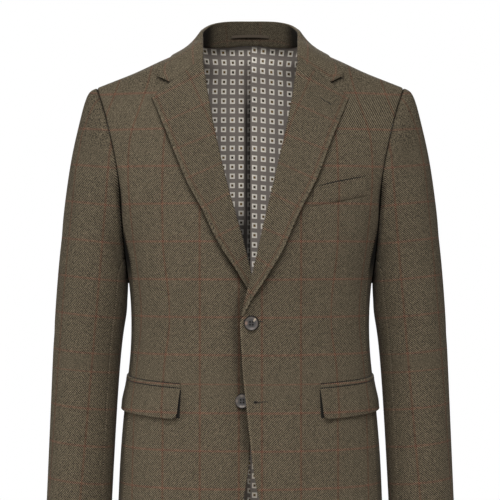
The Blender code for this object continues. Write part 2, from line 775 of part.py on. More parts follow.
def seat_matrix(place, over, lift):
    """Axes of a button on a front: its own +Z is the cloth's outward direction."""
    x, z = place[0] * MM, place[1] * MM
    here = front_point(x, z, lift, over)
    out = unit(front_point(x, z, lift + 0.01, over) - here)
    up = unit(np.array([0.0, 0.0, 1.0]) - out * out[2])
    right = np.cross(up, out)
    return here, right, up, out


def button(name, place, over, side):
    """A four-hole button seated on a front."""
    profile = [(radius * MM, height * MM) for radius, height in BUTTON_PROFILE]
    made = add_object(name, lathe(name, profile, BUTTON_SEGMENTS), HORN, 0.35)
    here, right, up, out = seat_matrix(place, over, SHELL_WALL / 2 + BUTTON_SEAT)
    frame = np.eye(4)
    for column, axis in enumerate((right * side, up, out, here)):
        frame[:3, column] = axis * np.array([side, 1.0, 1.0])
    cutters = bmesh.new()
    for sx in (-1, 1):
        for sy in (-1, 1):
            hole = bmesh.ops.create_cone(cutters, cap_ends=True, segments=8, radius1=BUTTON_HOLE_RADIUS,
                                         radius2=BUTTON_HOLE_RADIUS, depth=BUTTON_CUT_DEPTH)
            place_at = (sx * BUTTON_HOLE_PITCH, sy * BUTTON_HOLE_PITCH, 0)
            bmesh.ops.translate(cutters, verts=hole["verts"], vec=place_at)
    cutter_mesh = bpy.data.meshes.new(name + "_holes")
    cutters.to_mesh(cutter_mesh)
    cutters.free()
    cutter = bpy.data.objects.new(name + "_holes", cutter_mesh)
    bpy.context.scene.collection.objects.link(cutter)
    cutter.hide_render = True
    cutter.display_type = "WIRE"
    for thing in (made, cutter):
        thing.matrix_world = Matrix(frame.tolist())
    cut = made.modifiers.new("holes", "BOOLEAN")
    cut.operation = "DIFFERENCE"
    cut.solver = "EXACT"
    cut.object = cutter


def build():
    for thing in list(bpy.data.objects):
        bpy.data.objects.remove(thing, do_unlink=True)
    first, last = TOP_SLEEVE_SPAN
    ease = SEAM_GAP / 2 / SLEEVE_REACH
    for tag, side, over in (("left", 1, True), ("right", -1, False)):
        wall("front_" + tag, front_grid(over), SHELL_WALL, CLOTH, side=side)
        wall("side_" + tag, side_grid(), SHELL_WALL, CLOTH, side=side)
        wall("back_" + tag, back_grid(0.0, BACK_HEM_DROP, 0.0), SHELL_WALL, CLOTH, side=side)
        underlap, pleat = (0.0, PLEAT_LIFT) if over else (-PLEAT_UNDERLAP, 0.0)
        lining = back_grid(underlap, LINING_HEM_DROP, LINING_NECK_EASE, LINING_INSET, pleat)
        wall("back_lining_" + tag, lining, LINING_WALL, LINING_CLOTH, 0.45, side)
        upper = sleeve_grid(first + ease, last - ease, TOP_SLEEVE_COLUMNS)
        wall("top_sleeve_" + tag, upper, SLEEVE_WALL, CLOTH, side=side)
        under = sleeve_grid(last + ease, first + 2 * math.pi - ease, UNDER_SLEEVE_COLUMNS)
        wall("under_sleeve_" + tag, under, SLEEVE_WALL, CLOTH, side=side)
        wall("lapel_" + tag, lapel_grid(over), TURNED_WALL, LAPEL_CLOTH, side=side)
        wall("jetting_" + tag, jetting_grid(), POCKET_WALL, CLOTH, side=side)
        wall("flap_" + tag, flap_grid(), POCKET_WALL, CLOTH, side=side)
    wall("collar", collar_grid(), TURNED_WALL, LAPEL_CLOTH)
    wall("hanger_loop", loop_grid(), LOOP_WALL, TAPE, 0.6)
    wall("breast_welt", welt_grid(), POCKET_WALL, CLOTH)
    button("button_upper", UPPER_BUTTON, True, 1)
    button("button_lower", LOWER_BUTTON, False, -1)


build()
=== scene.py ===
"""Cloth, lining, buttons and loop of a two-button notch-lapel blazer, built on its frame.

Units are metres, +Z is up and the front faces -Y. Every piece is drawn for the wearer's left (+X) and
mirrored for the right. Cloth maps are in metres of cloth, so the weave and the overcheck keep their size.
"""

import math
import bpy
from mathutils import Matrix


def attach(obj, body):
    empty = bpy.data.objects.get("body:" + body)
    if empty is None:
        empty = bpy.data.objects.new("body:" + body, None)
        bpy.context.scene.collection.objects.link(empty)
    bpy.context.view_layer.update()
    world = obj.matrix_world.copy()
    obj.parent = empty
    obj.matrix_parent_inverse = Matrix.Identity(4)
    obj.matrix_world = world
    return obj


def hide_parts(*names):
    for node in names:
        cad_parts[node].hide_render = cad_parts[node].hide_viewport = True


bl_info = {
    "name": "Blazer Looks",
    "version": (1, 0, 0),
    "blender": (4, 5, 0),
    "location": "View3D > Sidebar > Blazer",
    "description": "Builds the cloth, lining, buttons and loop of a notch-lapel blazer on its frame",
    "category": "Add Mesh",
}

import bmesh
import bpy
import numpy as np
from bpy.props import FloatProperty, FloatVectorProperty, PointerProperty
from mathutils import Matrix

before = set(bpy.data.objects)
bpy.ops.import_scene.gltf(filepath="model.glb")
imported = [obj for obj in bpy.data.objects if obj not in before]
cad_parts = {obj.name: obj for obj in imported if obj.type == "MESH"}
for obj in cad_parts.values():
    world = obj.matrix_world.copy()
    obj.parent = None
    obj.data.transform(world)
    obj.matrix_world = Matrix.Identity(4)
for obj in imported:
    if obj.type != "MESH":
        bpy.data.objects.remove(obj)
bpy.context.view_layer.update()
MM = 0.001
SIDEWARD, BACKWARD, UPWARD = np.eye(3)

# Seams and clearances
SEAM_GAP = 0.36 * MM
TORSO_REACH = 0.26
SEAM_TURN = SEAM_GAP / TORSO_REACH
SLEEVE_REACH = 0.055
ARMHOLE_GAP = 0.5 * MM
UNDERARM_STEP = 3.0 * MM
NECK_GAP = 1.3 * MM
NECK_EASE = 0.0046
LINING_NECK_EASE = 0.001
SEAM_SINK = (0.9 * MM, 2.2 * MM)
ARMHOLE_SINK = (0.8 * MM, 2.6 * MM)
# A dark tube along the front armhole seam into the fold under the arm, as painted shadow
ARMHOLE_SHADOW_SKIP = 1
ARMHOLE_SHADOW_LIFT = 0.4 * MM
ARMHOLE_SHADOW_RADIUS = (0.42 * MM, 3.4 * MM)
ARMPIT_FILL_BACK = 12.0 * MM
ARMPIT_STARTS = (160.0 * MM, 245.0 * MM)
ARMPIT_ENDS = (296.0 * MM, 328.0 * MM)
ARMPIT_DEPTH = 22.0 * MM
ARMPIT_REACH = (9.5 * MM, 11.0 * MM)
# Sides of the painted shadow tube in the armhole seam
ARMHOLE_SHADOW_SIDES = 10
SIDE_TOP_EASE = 0.6 * MM
SIDE_TOP_LEVEL = 0.545
UNDERARM_SHARE = 0.4

# Heights, measured down from the shoulder line
HEM_DROP = 716.0 * MM
BACK_HEM_DROP = 708.0 * MM
LINING_HEM_DROP = 688.0 * MM
SHEAR_DEPTH = 260.0 * MM
SECTION_POWER = 2.4
FRONT_SIDE_SEAM = math.radians(69.0)
BACK_SIDE_SEAM = math.radians(112.0)
NECK_HALF = 78.0 * MM
NECK_HALF_LOW = 71.4 * MM
NECK_DEPTH = 36.0 * MM

# Turned edges: fold radius at the lapel's foot and at the collar, and how high the lapel lies
FOLD_FOOT = 1.25 * MM
FOLD_TOP = 2.1 * MM
FOLD_COLLAR = 2.1 * MM
FOLD_FULL_Z = -250.0
LAPEL_LIFT = 3.9 * MM
LAPEL_RISE = 0.4 * MM
LAPEL_BELLY = 0.9 * MM
LAPEL_SPRING = 6.5 * MM
SPRING_STARTS = (0.0, 0.2)
SPRING_ENDS = (0.8, 1.0)
BELLY_STARTS = (0.0, 0.3)
LAPEL_MEETS_GORGE = (0.9, 1.0)
ROLL_TUCK = 1.0 * MM
COLLAR_LIFT = 3.7 * MM
COLLAR_REST = 2.0 * MM
COLLAR_SAG = 3.0 * MM
COLLAR_RISES_FROM = 0.55
STAND_LIP = 3.0 * MM
STAND_LAP = 1.2 * MM
STAND_LIP_ENDS = (0.45, 0.8)
LAPEL_FOOT_Z = -373.0
EDGE_FADE = 8.0 * MM
GORGE_INNER = (67.5, -7.0)
NOTCH_CORNER = (114.2, -40.2)
LAPEL_TIP = (141.3, -60.8)
COLLAR_TIP = (131.5, -31.3)
GORGE_SHARE = 0.72
LAPEL_GRAIN = math.radians(-25.7)

# Pockets, buttons and buttonholes (mm in the front view)
WELT_CORNERS = ((89.5, -192.5), (167.5, -175.5), (86.8, -220.3), (167.0, -204.0))
FLAP_START_X = 100.4
FLAP_LENGTH = 150.0
FLAP_DEPTH = 44.0
FLAP_TOP_Z = -478.0
FLAP_RISE = 9.0
FLAP_SLANT = 0.5
FLAP_REACH = 0.15
FLAP_ROUND = 9.0
JETTING_HEIGHT = 5.6
UPPER_BUTTON = (1.6, -383.7)
LOWER_BUTTON = (11.7, -495.6)
THREAD_HEIGHTS = (0.2 * MM, 1.0 * MM, 1.9 * MM)
THREAD_RADIUS = 0.6 * MM
SHANK_HEIGHTS = (-1.2 * MM, 0.0, 0.3 * MM)
SHANK_RADIUS = 2.6 * MM
# A dark disc under each button, painted shadow: its heights and radius
BUTTON_SHADOW_HEIGHTS = (-1.5 * MM, -1.2 * MM, -0.9 * MM)
BUTTON_SHADOW_RADIUS = 10.9 * MM
BUTTON_SEAT = 1.6 * MM
BUTTON_CUT_DEPTH = 14.0 * MM
BUTTON_HOLE_RADIUS = 1.15 * MM
BUTTON_HOLE_PITCH = 1.95 * MM
BUTTON_HOLE_PLACES = tuple((x * BUTTON_HOLE_PITCH, y * BUTTON_HOLE_PITCH) for x in (-1, 1) for y in (-1, 1))
BUTTON_SHARP = math.radians(48.0)
LOOP_LENGTH = 56.0 * MM
LOOP_HEIGHT = 4.0 * MM
LOOP_CLEARANCE = 1.5 * MM
LOOP_BOW = 1.6 * MM
LOOP_SHARE = 0.40
PLEAT_UNDERLAP = 16.0 * MM
PLEAT_LIFT = 6.0 * MM
LINING_INSET = 12.5 * MM
LINING_TOP_INSET = 1.6 * MM
LINING_HANG = 40.0 * MM
LINING_FLAT = (80.0 * MM, 150.0 * MM)
PLEAT_TROUGH = (10.5 * MM, 4.0 * MM, 5.0 * MM)
PLEAT_DEEPENS = (10.0 * MM, 70.0 * MM)
LINING_SEAM_INSET = 2.3 * MM
LINING_CLOSES = (0.55, 1.0)
# Painted shade on the under half of the lining: beside the pleat's fold, and low down
SHADE_ASIDE = (5.5 * MM, 11.0 * MM)
SHADE_STARTS = (15.0 * MM, 95.0 * MM)
SHADE_LOW = (0.215, 0.268)
SHADE_ENDS = (0.36, 0.44)
SHADE_DEPTH = 0.84
PLEAT_FADE = 45.0 * MM
FLAP_STAND_OFF = 5.2 * MM
FLAP_TURN_IN = 0.45
FLAP_TURN_SPAN = (0.6, 1.0)
FLAP_BELLY_POWER = 1.5
FLAP_FRONT_POWER = 0.6
FLAP_FRONT_SHARE = 0.16
FLAP_FRONT_OFF = 1.3
# A dark strip beside each flap's front edge, as painted shadow
FLAP_SHADOW_SPAN = (0.06, 0.96)
FLAP_SHADOW_WIDTH = (0.8, 1.8)
FLAP_SHADOW_UNDER = 3.0
TRIM_REST = 0.15 * MM
# Width and wall of the dark strips of painted shade at the pockets
SEAM_LINE = 1.2
SEAM_LINE_WALL = 0.3 * MM
WELT_SINK = (2.0 * MM, 8.0 * MM)
# Height of the dark strip of painted shade in the breast pocket's mouth
WELT_MOUTH = 2.3 * MM
WELT_CROWN = 0.9 * MM

# Buttonholes: name, first end x and z, last end x and z, half width, eye radius (mm)
FRONT_BUTTONHOLES = (
    ("upper", -1.0, -382.2, 17.2, -381.4, 0.62, 1.2),
    ("lower", 6.9, -496.4, 24.0, -495.4, 0.26, 1.9),
)
LAPEL_BUTTONHOLE = ("lapel", 114.5, -74.2, 99.5, -64.6, 0.45, 0)
EYE_REACH = 1.5
SLIT_LIFT = 0.14 * MM
STITCH_LIFT = 0.2 * MM
STITCH_RADIUS = (0.26, 0.1)
STITCH_BEAT = 1.9

# Torso sections: drop, half width, front depth, back depth (mm)
TORSO = (
    (0, 238, 0, 0),
    (8, 240, 26, 34),
    (20, 241, 42, 54),
    (50, 241, 67, 82),
    (80, 239.5, 84, 95),
    (135, 227, 109, 110),
    (180, 214.7, 121, 116),
    (228, 201, 128, 118.5),
    (275, 187.8, 130, 116),
    (310, 180.6, 128.5, 110),
    (350, 176, 125, 101.5),
    (400, 174.6, 120.5, 95),
    (440, 176.6, 118.5, 96),
    (480, 181, 118, 100),
    (540, 187.2, 119, 108),
    (600, 191.5, 121, 114),
    (660, 194, 122.5, 117),
    (720, 196.3, 123, 118),
)

# Shoulder line: half width, height (mm)
SHOULDER_LINE = (
    (0, 55),
    (40, 45.5),
    (60, 36),
    (78, 26),
    (95, 15.8),
    (112, 6.4),
    (131, -2.0),
    (162, -16.5),
    (198, -31.2),
    (227, -42.4),
    (250, -51.5),
)

# Armhole: height, front half width, back half width (mm); the foot reaches the side
ARMHOLE = (
    (-42.5, 226.5, 226.5),
    (-70, 216, 219.5),
    (-100, 207, 212.5),
    (-140, 197, 203.5),
    (-180, 190, 197),
    (-215, 187, 191.5),
    (-250, 184.5, 187),
    (-285, 182, 183.5),
    (-310, 179.3, 180),
)
ARMHOLE_TURN_Z = -290.0
ARMHOLE_FOOT_Z = -330.0

# Front edge and roll line: height, lapping front, under front (mm past the centre is negative)
FRONT_EDGE = (
    (-10, 67.0, 67.0),
    (-58.7, 59.7, 59.7),
    (-106.7, 50.8, 50.8),
    (-153.4, 40, 40.5),
    (-199, 29.3, 29.0),
    (-246, 18, 15.5),
    (-291, 8, 3.7),
    (-322, 0, -3.8),
    (-346, -6.6, -9.5),
    (-367, -11.4, -14.0),
    (-387, -14, -16.5),
    (-408, -13, -15.0),
    (-450, -10.6, -11.0),
    (-494, -6.5, -6.5),
    (-556, 0, -1.0),
    (-592, 4.4, 2.5),
    (-630, 11.6, 9.0),
    (-660, 20.5, 18.5),
    (-685, 35, 34),
    (-702, 55, 54.5),
    (-711, 78, 78),
    (-716, 104, 104),
)

# Lapel outer edge: height, lapping front, under front (mm)
LAPEL_EDGE = (
    (-373, -9.0, -11.2),
    (-357, -1.6, -6.5),
    (-346, 4, -2.0),
    (-336, 11, 3.0),
    (-322, 20.1, 11.5),
    (-306, 29.7, 21.3),
    (-281, 44.8, 37.8),
    (-257, 55.4, 51.4),
    (-219, 73.1, 69.3),
    (-196, 85.4, 82.6),
    (-165, 99.4, 97.1),
    (-125, 114.4, 113.7),
    (-96, 126.7, 126.1),
    (-60.8, 141.3, 141.3),
)

# How far the fronts part at the closing: height, half lift (mm)
CLOSING = (
    (-90, 0),
    (-200, 0.9),
    (-300, 3.2),
    (-384, 3.3),
    (-450, 3.7),
    (-500, 4.1),
    (-580, 3.9),
    (-720, 3.0),
)
CLOSING_FADE = ((30.0 * MM, 100.0 * MM), (9.0 * MM, 40.0 * MM))
CLOSING_SHARE = (1.6, -1.35)

# Painted shade on the fronts beside the lapels, over and under: drop, depth, reach (mm)
LAPEL_SHADE = (
    ((60, 0.02, 7), (200, 0.05, 14), (300, 0.24, 24), (360, 0.26, 24)),
    ((60, 0.45, 6), (200, 0.22, 8), (300, 0.55, 11), (360, 0.62, 12)),
)
# Painted shade in the notch, in the fold under the arm, along the armhole seam and beside the closing
NOTCH_SHADE = ((134.0, -30.5), (116.0, -39.0))
NOTCH_REACH = (1.5 * MM, 4.5 * MM)
NOTCH_DARK = 0.75
ARMPIT_SHADE = 0.95
ARMPIT_SHADE_REACH = ((2.5 * MM, 9.0 * MM), (5.0 * MM, 16.0 * MM))
ARMPIT_FRONT_ENDS = (200.0 * MM, 236.0 * MM)
SIDE_SHADE_REACH = (-4.0 * MM, 9.0 * MM)
ARMHOLE_SHADE = 0.4
ARMHOLE_SHADE_REACH = (0.7 * MM, 3.2 * MM)
CLOSING_SHADE = 0.43
CLOSING_SHADE_STARTS = (322.0 * MM, 345.0 * MM)
CLOSING_SHADE_REACH = (6.0 * MM, 17.0 * MM)
# A painted highlight along the lapping front's edge, at half strength along the lapels' outer edges
EDGE_HIGHLIGHT = 0.3
EDGE_HIGHLIGHT_REACH = (1.6 * MM, 4.2 * MM)
# Where the twill gives way to specks
FRONT_SPECKS = (30.0 * MM, 75.0 * MM)
SLEEVE_SPECKS = (110.0 * MM, 175.0 * MM)
LAPEL_SPECKS = (2.5 * MM, 8.0 * MM)
COLLAR_SPECKS = 0.6
# Painted shade at the ends of the collar stand
STAND_ENDS = (50.0 * MM, 66.0 * MM)
STAND_END_SHADE = 0.8
# Size and contrast of the specks
SPECK_NOISE = (720.0, 1.0)
SPECK_CONTRAST = 2.8
# How far the lapping front's edge rolls forward, and where
EDGE_ROLL = 4.5 * MM
EDGE_ROLL_REACH = 11.0 * MM
EDGE_ROLL_STARTS = (374.0 * MM, 404.0 * MM)
EDGE_ROLL_ENDS = (550.0 * MM, 620.0 * MM)

# Button profile from the middle of its back to the middle of its face: radius, height (mm)
BUTTON_PROFILE = (
    (0, 0),
    (6.8, 0),
    (8.4, 0.2),
    (9.4, 0.75),
    (9.9, 1.5),
    (10, 2.1),
    (9.85, 2.8),
    (9.45, 3.25),
    (8.9, 3.4),
    (8.35, 3.3),
    (7.8, 2.95),
    (7.1, 2.65),
    (6.2, 2.48),
    (5.0, 2.4),
    (2.8, 2.32),
    (0, 2.3),
)

# Paler patches of the horn of each button: place on the face, full reach, faded reach (mm), colour; the upper
# button's palest patches are a painted glint
HORN_PATCHES = {
    "upper": (
        ((-7.6, 0.8), 0.8, 3.8, "horn_warm"),
        ((0.8, -7.6), 0.5, 3.6, "horn_grey"),
        ((3.7, 3.7), 0.2, 1.8, "horn_pale"),
        ((4.9, 5.5), 0.5, 2.3, "horn_pale"),
        ((6.0, 6.8), 0.2, 1.7, "horn_pale"),
    ),
    "lower": (
        ((-7.4, 0.9), 0.5, 3.2, "horn_tan"),
        ((-0.4, 7.8), 0.6, 3.4, "horn_tan"),
        ((-2.0, -7.2), 0.3, 2.4, "horn_tan"),
        ((2.2, -7.0), 0.3, 2.4, "horn_tan"),
    ),
}
# Painted shade on the buttons' flank and round their holes
HORN_SHADED_FLANK = (8.9 * MM, 9.5 * MM)
HORN_HOLE_SHADE = (1.2 * MM, 1.5 * MM)

# Sleeve: along, outer x, outer z, inner x, inner z, mid y, half depth (mm)
SLEEVE = (
    (0.00, 227.5, -42.6, 182.5, -330, 2, 70),
    (0.03, 237, -47.5, 183, -331, 2, 71),
    (0.06, 243, -58, 183, -332, 2, 71.5),
    (0.12, 250.8, -86, 182.8, -335, 2, 71),
    (0.25, 262.2, -140, 182.4, -343, 1.5, 69.5),
    (0.42, 273, -213, 183, -357, 0.5, 67),
    (0.58, 281.8, -300, 184.6, -379, -1.5, 63.5),
    (0.72, 288.3, -400, 190.4, -421, -5, 59.5),
    (0.84, 292.4, -500, 196.6, -503, -10, 54.5),
    (1.00, 298.6, -667, 205, -667, -21, 47),
)
SLEEVE_POWER = 2.15
HEAD_BLEND = 0.30
TOP_SLEEVE_SPAN = (math.radians(-86.0), math.radians(136.0))
SLEEVE_FRONT = math.radians(150.0)
SLEEVE_MAP_TOP = 115.0 * MM

# Collar: fold x, y, z, neck seam x, neck level, fall edge x, edge level (mm; level is front -, back +)
COLLAR = (
    (0, 66, 64.5, 0, 0.153, 0, 0.209),
    (36.5, 60.5, 63.3, 33, 0.142, 42, 0.188),
    (59, 44, 57, 57, 0.109, 72, 0.145),
    (68, 23, 48.8, 71, 0.068, 94, 0.080),
    (71.3, 4, 41.5, 78, 0.0, 109, 0.0),
    (70.3, -13, 29.5, 76.8, -0.050, 118, -0.075),
    (69.7, -34.5, 15.6, 75, -0.112, 125.5, -0.130),
    (67.5, -57, -7, 71, -0.190, 131.5, -0.180),
)
SHOULDER_ROW = 4
COLLAR_FRONT_PLACE = 13 / 14

# Overcheck layout in metres of cloth: where its lines start, and what darts and pockets take up
CHECK_START = (16.3 * MM, 53.4 * MM)
SLEEVE_CHECK_START = 8.0 * MM
LAPEL_CHECK_START = (7.0 * MM, 5.0 * MM)
DART_X = 113.0 * MM
DART_SOFT = 1.5 * MM
DART_TAKE_UP = 10.0 * MM
DART_DROPS = (265.0 * MM, 375.0 * MM, 465.0 * MM)
SHOULDER_LEAN = 25.0 * MM
LEAN_REACH = 150.0 * MM
LEAN_DROP = 130.0 * MM
WAIST_TAKE_UP = (25.0 * MM, 440.0 * MM, 505.0 * MM)
SLEEVE_TAKE_UP = (28.0 * MM, 432.0 * MM, 455.0 * MM)
SLEEVE_CHECK_SLOPE = 0.105
SLEEVE_CHECK_LINE = (207.5 * MM, 103.0 * MM, 0.0861)
LINING_SQUARE_START = ((6.6 * MM, 21.7 * MM), (0.3 * MM, 17.2 * MM))
LINING_STRETCH = (0.963, 0.998)
LINING_SLOPE = 0.128
LINING_SLOPE_FADE = 0.45

# Soft creases: place across and down in the panel's own map (mm), lean (degrees), half length, half width,
# depth (mm, a ridge is negative)
FRONT_CREASES = (
    (128, 190, 78, 70, 16, 0.9),
    (96, 300, 62, 60, 13, 0.7),
    (60, 352, 24, 46, 9, 0.6),
    (84, 388, -16, 52, 10, 0.5),
    (40, 600, 84, 80, 15, 0.7),
    (122, 610, 96, 64, 17, -0.7),
)
BACK_CREASES = (
    (118, 170, 74, 74, 15, 1.8),
    (142, 236, 66, 58, 12, 1.5),
    (84, 352, 8, 56, 11, 1.3),
    (102, 392, -12, 62, 13, 1.6),
    (56, 430, 6, 44, 10, 0.9),
    (70, 590, 86, 82, 18, -1.4),
    (128, 620, 92, 70, 15, 1.3),
)
SLEEVE_CREASES = (
    (-20, 170, 70, 52, 12, 0.9),
    (26, 250, 58, 44, 9, 1.2),
    (-6, 330, 28, 38, 8, 1.0),
    (30, 362, 14, 34, 7, 1.4),
    (8, 398, -18, 42, 9, 1.1),
    (-44, 430, 40, 40, 10, 0.8),
    (18, 520, 62, 54, 11, 0.9),
    (-70, 300, 76, 60, 13, 1.0),
    (-118, 380, 20, 40, 10, 1.2),
    (-150, 340, -24, 44, 11, 1.3),
)
CREASE_BOW = 0.12

# Small steps that measure a surface, rounds of a search, and where a tube's way counts as steep
PROBE_LIFT = 0.01
SLEEVE_PROBE = 0.02
SETTLE_STEPS = 30
STEEP = 0.9

# Mesh steps
ROW_STEP = 4.2 * MM
EDGE_SHARES = (0.0, 0.0035, 0.008, 0.0145, 0.024)
EDGE_CLEAR = 1.4
SHOULDER_ROWS = 9
SHOULDER_BAND = 24
HEM_BAND = 15
HEM_ROWS = (12.5, 9.8, 7.4, 5.4, 3.8, 2.5, 1.5, 0.8, 0.3, 0.0)
FIRST_LEVEL = 0.0008
LINE_STEPS = 600
FRONT_COLUMNS = 96
NECK_COLUMNS = 24
BACK_COLUMNS = 34
CENTRE_STEPS = 4
PLEAT_STEPS = 7
CLOSE_CLEAR = 0.01
SIDE_COLUMNS = 14
SIDE_TOP_SHARES = (0.0, 0.004, 0.009)
SLEEVE_ROWS = 140
SLEEVE_ROW_BLEND = (0.55, 0.45, 1.6)
SLEEVE_TOP_SHARES = (0.0, 0.0012, 0.0028, 0.005)
CUFF_SHARES = (0.9965, 0.9988, 1.0)
SLEEVE_MAP_STEPS = (260, 240, 200)
TOP_SLEEVE_COLUMNS = 66
UNDER_SLEEVE_COLUMNS = 34
LAPEL_ROWS = 104
LAPEL_COLUMNS = 30
LAPEL_EDGE_SHARES = (0.97, 0.982, 0.992, 1.0)
COLLAR_ROWS = 62
COLLAR_END_ROWS = 9
STAND_COLUMNS = 9
FALL_COLUMNS = 20
FALL_EDGE_SHARES = (0.965, 0.98, 0.992, 1.0)
FOLD_ANGLES = tuple(math.radians(a) for a in (-90, -67.5, -45, -22.5, 0, 22.5, 45, 67.5, 90))
FLAP_ROWS = 18
FLAP_COLUMNS = 60
FLAP_FINE_STEPS = 400
FLAP_SHADOW_STEPS = (16, 4)
JETTING_ROWS = 5
WELT_ROWS = 12
WELT_TOP_SHARES = (0.0, 0.03, 0.07, 0.12)
WELT_ROWS_FROM = 0.2
WELT_COLUMNS = 32
LOOP_COLUMNS = 41
LOOP_ROWS = 7
BUTTON_SEGMENTS = 64
BUTTON_HOLE_SEGMENTS = 20
SHANK_SIDES = 40
THREAD_SIDES = 8
BUTTONHOLE_STEPS = 46
BUTTONHOLE_CAP_STEPS = 12
STITCH_STEPS = 4
STITCH_SIDES = 6

# Edges of cut pieces, and how far the facing reaches inside the fronts
RIM_SHARE = 0.72
EDGE_BULGE = 0.3
COLLAR_BULGE = 0.15
JETTING_BULGE = 0.1
FACING_WIDTH = 85.0 * MM

# Copies of the suiting: check pitch, tint, yarn lean, unevenness, wander and rust share. The tints are
# painted light and shade: the sleeves, lapels and collar stand darker, the collar lighter.
SUITINGS = {
    "suiting_body": ("check_down", 1.0, 0.0, 0.3, 0.0004, 0.7),
    "suiting_sleeve": ("check_down", 0.91, 0.0, 0.35, 0.0008, 0.64),
    "suiting_lapel_left": ("lapel_check_down", 0.92, LAPEL_GRAIN, 0.3, 0.0005, 0.5),
    "suiting_lapel_right": ("lapel_check_down", 0.92, -LAPEL_GRAIN, 0.3, 0.0005, 0.5),
    "suiting_collar": ("lapel_check_down", 1.04, 0.0, 0.35, 0.0006, 0.5),
    "suiting_stand": ("lapel_check_down", 0.50, 0.0, 0.4, 0.0006, 0.3),
}

# Small weaves: colour, share of it in the light and the dark yarn, pitch (m), roughness, sheen, specular
YARNS = {
    "sewing_thread": ("thread", 1.0, 0.6, 0.0004, 0.75, 0.1, 0.3),
    # The next is near black: painted shadow in buttonhole slits, along pocket seams and mouths, beside the
    # flaps and under the buttons; it also colours the button thread
    "slit_dark": ("thread", 0.14, 0.05, 0.0006, 0.75, 0.1, 0.3),
    # The next is near black with little sheen: painted shadow along the front armhole seam and in the fold
    # under the arm
    "fold_dark": ("thread", 0.14, 0.05, 0.0006, 0.75, 0.0, 0.05),
    "loop_tape": ("tape", 1.0, 0.55, 0.0006, 0.6, 0.1, 0.3),
}

# Finishes: roughness, sheen, specular; bumps: strength, distance (m); drifts: how far the colour strays
SUITING_FINISH = (0.88, 0.02, 0.1)
SUITING_ROUGH = (0.14, 0.8)
SUITING_BUMP = (0.35, 0.0004)
SUITING_DRIFT = 0.16
PLAIN_LINING_FINISH = (0.42, 0.0, 0.5)
SQUARE_LINING_FINISH = (0.42, 0.0, 0.3)
LINING_BUMP = (0.15, 0.0002)
LINING_DRIFT = 0.3
LINING_YARN_PITCH = 0.00032
LINING_YARN_SHARES = (1.12, 0.88)
LINING_UNEVENNESS = 0.25
SQUARE_SOFT = 0.0003
SQUARE_FRAY_NOISE = (1400.0, 1.0)
SQUARE_FRAY = 0.0007
HORN_FINISH = (0.3, 0.0, 0.5)
HORN_COAT = (0.12, 0.2)
HORN_ROUGH = (0.22, 0.34)
HORN_BUMP = (0.08, 0.0003)
HORN_WARP_NOISE = (210.0, 4.0)
HORN_STREAK_SCALE = (120.0, 420.0, 1.0)
HORN_STREAK_NOISE = (1.0, 5.0)
HORN_STREAK_BEND = 1.4
HORN_RIM = (0.0045, 0.0080)
HORN_RIM_STRAY = 0.0035
HORN_PATCH_STRAY = 0.003
YARN_BUMP = (0.4, 0.0003)
YARN_UNEVENNESS = 0.4
SHEEN_ROUGHNESS = 0.45
TWILL_REPEAT = 4.0
TWILL_UP = 2.0
TWILL_TONES = (-0.08, 2.2)
WANDER_NOISE = (330.0, 1.0)
SLUB_SCALE = (700.0, 260.0, 1.0)
SLUB_NOISE = (1.0, 2.0)
SLUB_SHARE = 0.6
YARN_SHARE = 2.0
CHECK_CORE = 0.3
DRIFT_NOISES = ((14.0, 3.0), (95.0, 2.0))
DRIFT_FINE_SHARE = 0.6
DRIFT_MIDDLE = 0.8

# Studio lights: name, place, width and height (m)
LIGHTS = (
    ("key", (-0.05, -3.0, 2.6), (2.4, 1.2)),
    ("fill", (-0.2, -2.6, 0.2), (2.0, 1.6)),
    ("left", (-2.6, -0.9, 0.2), (0.6, 2.0)),
    ("right", (2.6, -0.9, 0.2), (0.6, 2.0)),
    ("back", (0.0, 3.2, 1.9), (2.6, 1.2)),
)
LIGHT_AIM = (0.0, -0.05, -0.32)
ROOM_COLOUR = (1.0, 0.985, 0.96, 1.0)
WHITE = (1.0, 1.0, 1.0, 1.0)
CAMERA_ASIDE = -0.0004
SENSOR_WIDTH = 36.0
FLOOR_SEGMENTS = 128
FLOOR_ROUGHNESS = 0.7


class Curve:
    """Natural cubic through a table: first column the knots, the others the values."""

    def __init__(self, rows, knots=None):
        rows = np.array(rows, float)
        self.t = rows[:, 0] if knots is None else np.array(knots, float)
        self.v = rows[:, 1:]
        if self.t[0] > self.t[-1]:
            self.t = self.t[::-1]
            self.v = self.v[::-1]
        step = np.diff(self.t)
        size = len(self.t)
        system = np.eye(size)
        right = np.zeros_like(self.v)
        for i in range(1, size - 1):
            system[i, i - 1] = step[i - 1]
            system[i, i] = 2 * (step[i - 1] + step[i])
            system[i, i + 1] = step[i]
            rise = (self.v[i + 1] - self.v[i]) / step[i]
            fall = (self.v[i] - self.v[i - 1]) / step[i - 1]
            right[i] = 6 * (rise - fall)
        self.bend = np.linalg.solve(system, right)

    def __call__(self, at):
        at = np.clip(np.asarray(at, float), self.t[0], self.t[-1])
        k = np.clip(np.searchsorted(self.t, at) - 1, 0, len(self.t) - 2)
        step = (self.t[k + 1] - self.t[k])[..., None]
        a = (self.t[k + 1] - at)[..., None] / step
        b = 1 - a
        cubic = ((a**3 - a) * self.bend[k] + (b**3 - b) * self.bend[k + 1]) * step**2 / 6
        return a * self.v[k] + b * self.v[k + 1] + cubic


def smooth(low, high, value):
    t = np.clip((value - low) / (high - low), 0, 1)
    return t * t * (3 - 2 * t)


def fade(low, high, value):
    return 1 - smooth(low, high, value)


def lerp(a, b, t):
    return a + (b - a) * t


def arrays(*values):
    """Values as arrays of floats of one shape."""
    return np.broadcast_arrays(*(np.asarray(value, float) for value in values))


def unit(v):
    return v / np.maximum(np.linalg.norm(v, axis=-1, keepdims=True), 1e-12)


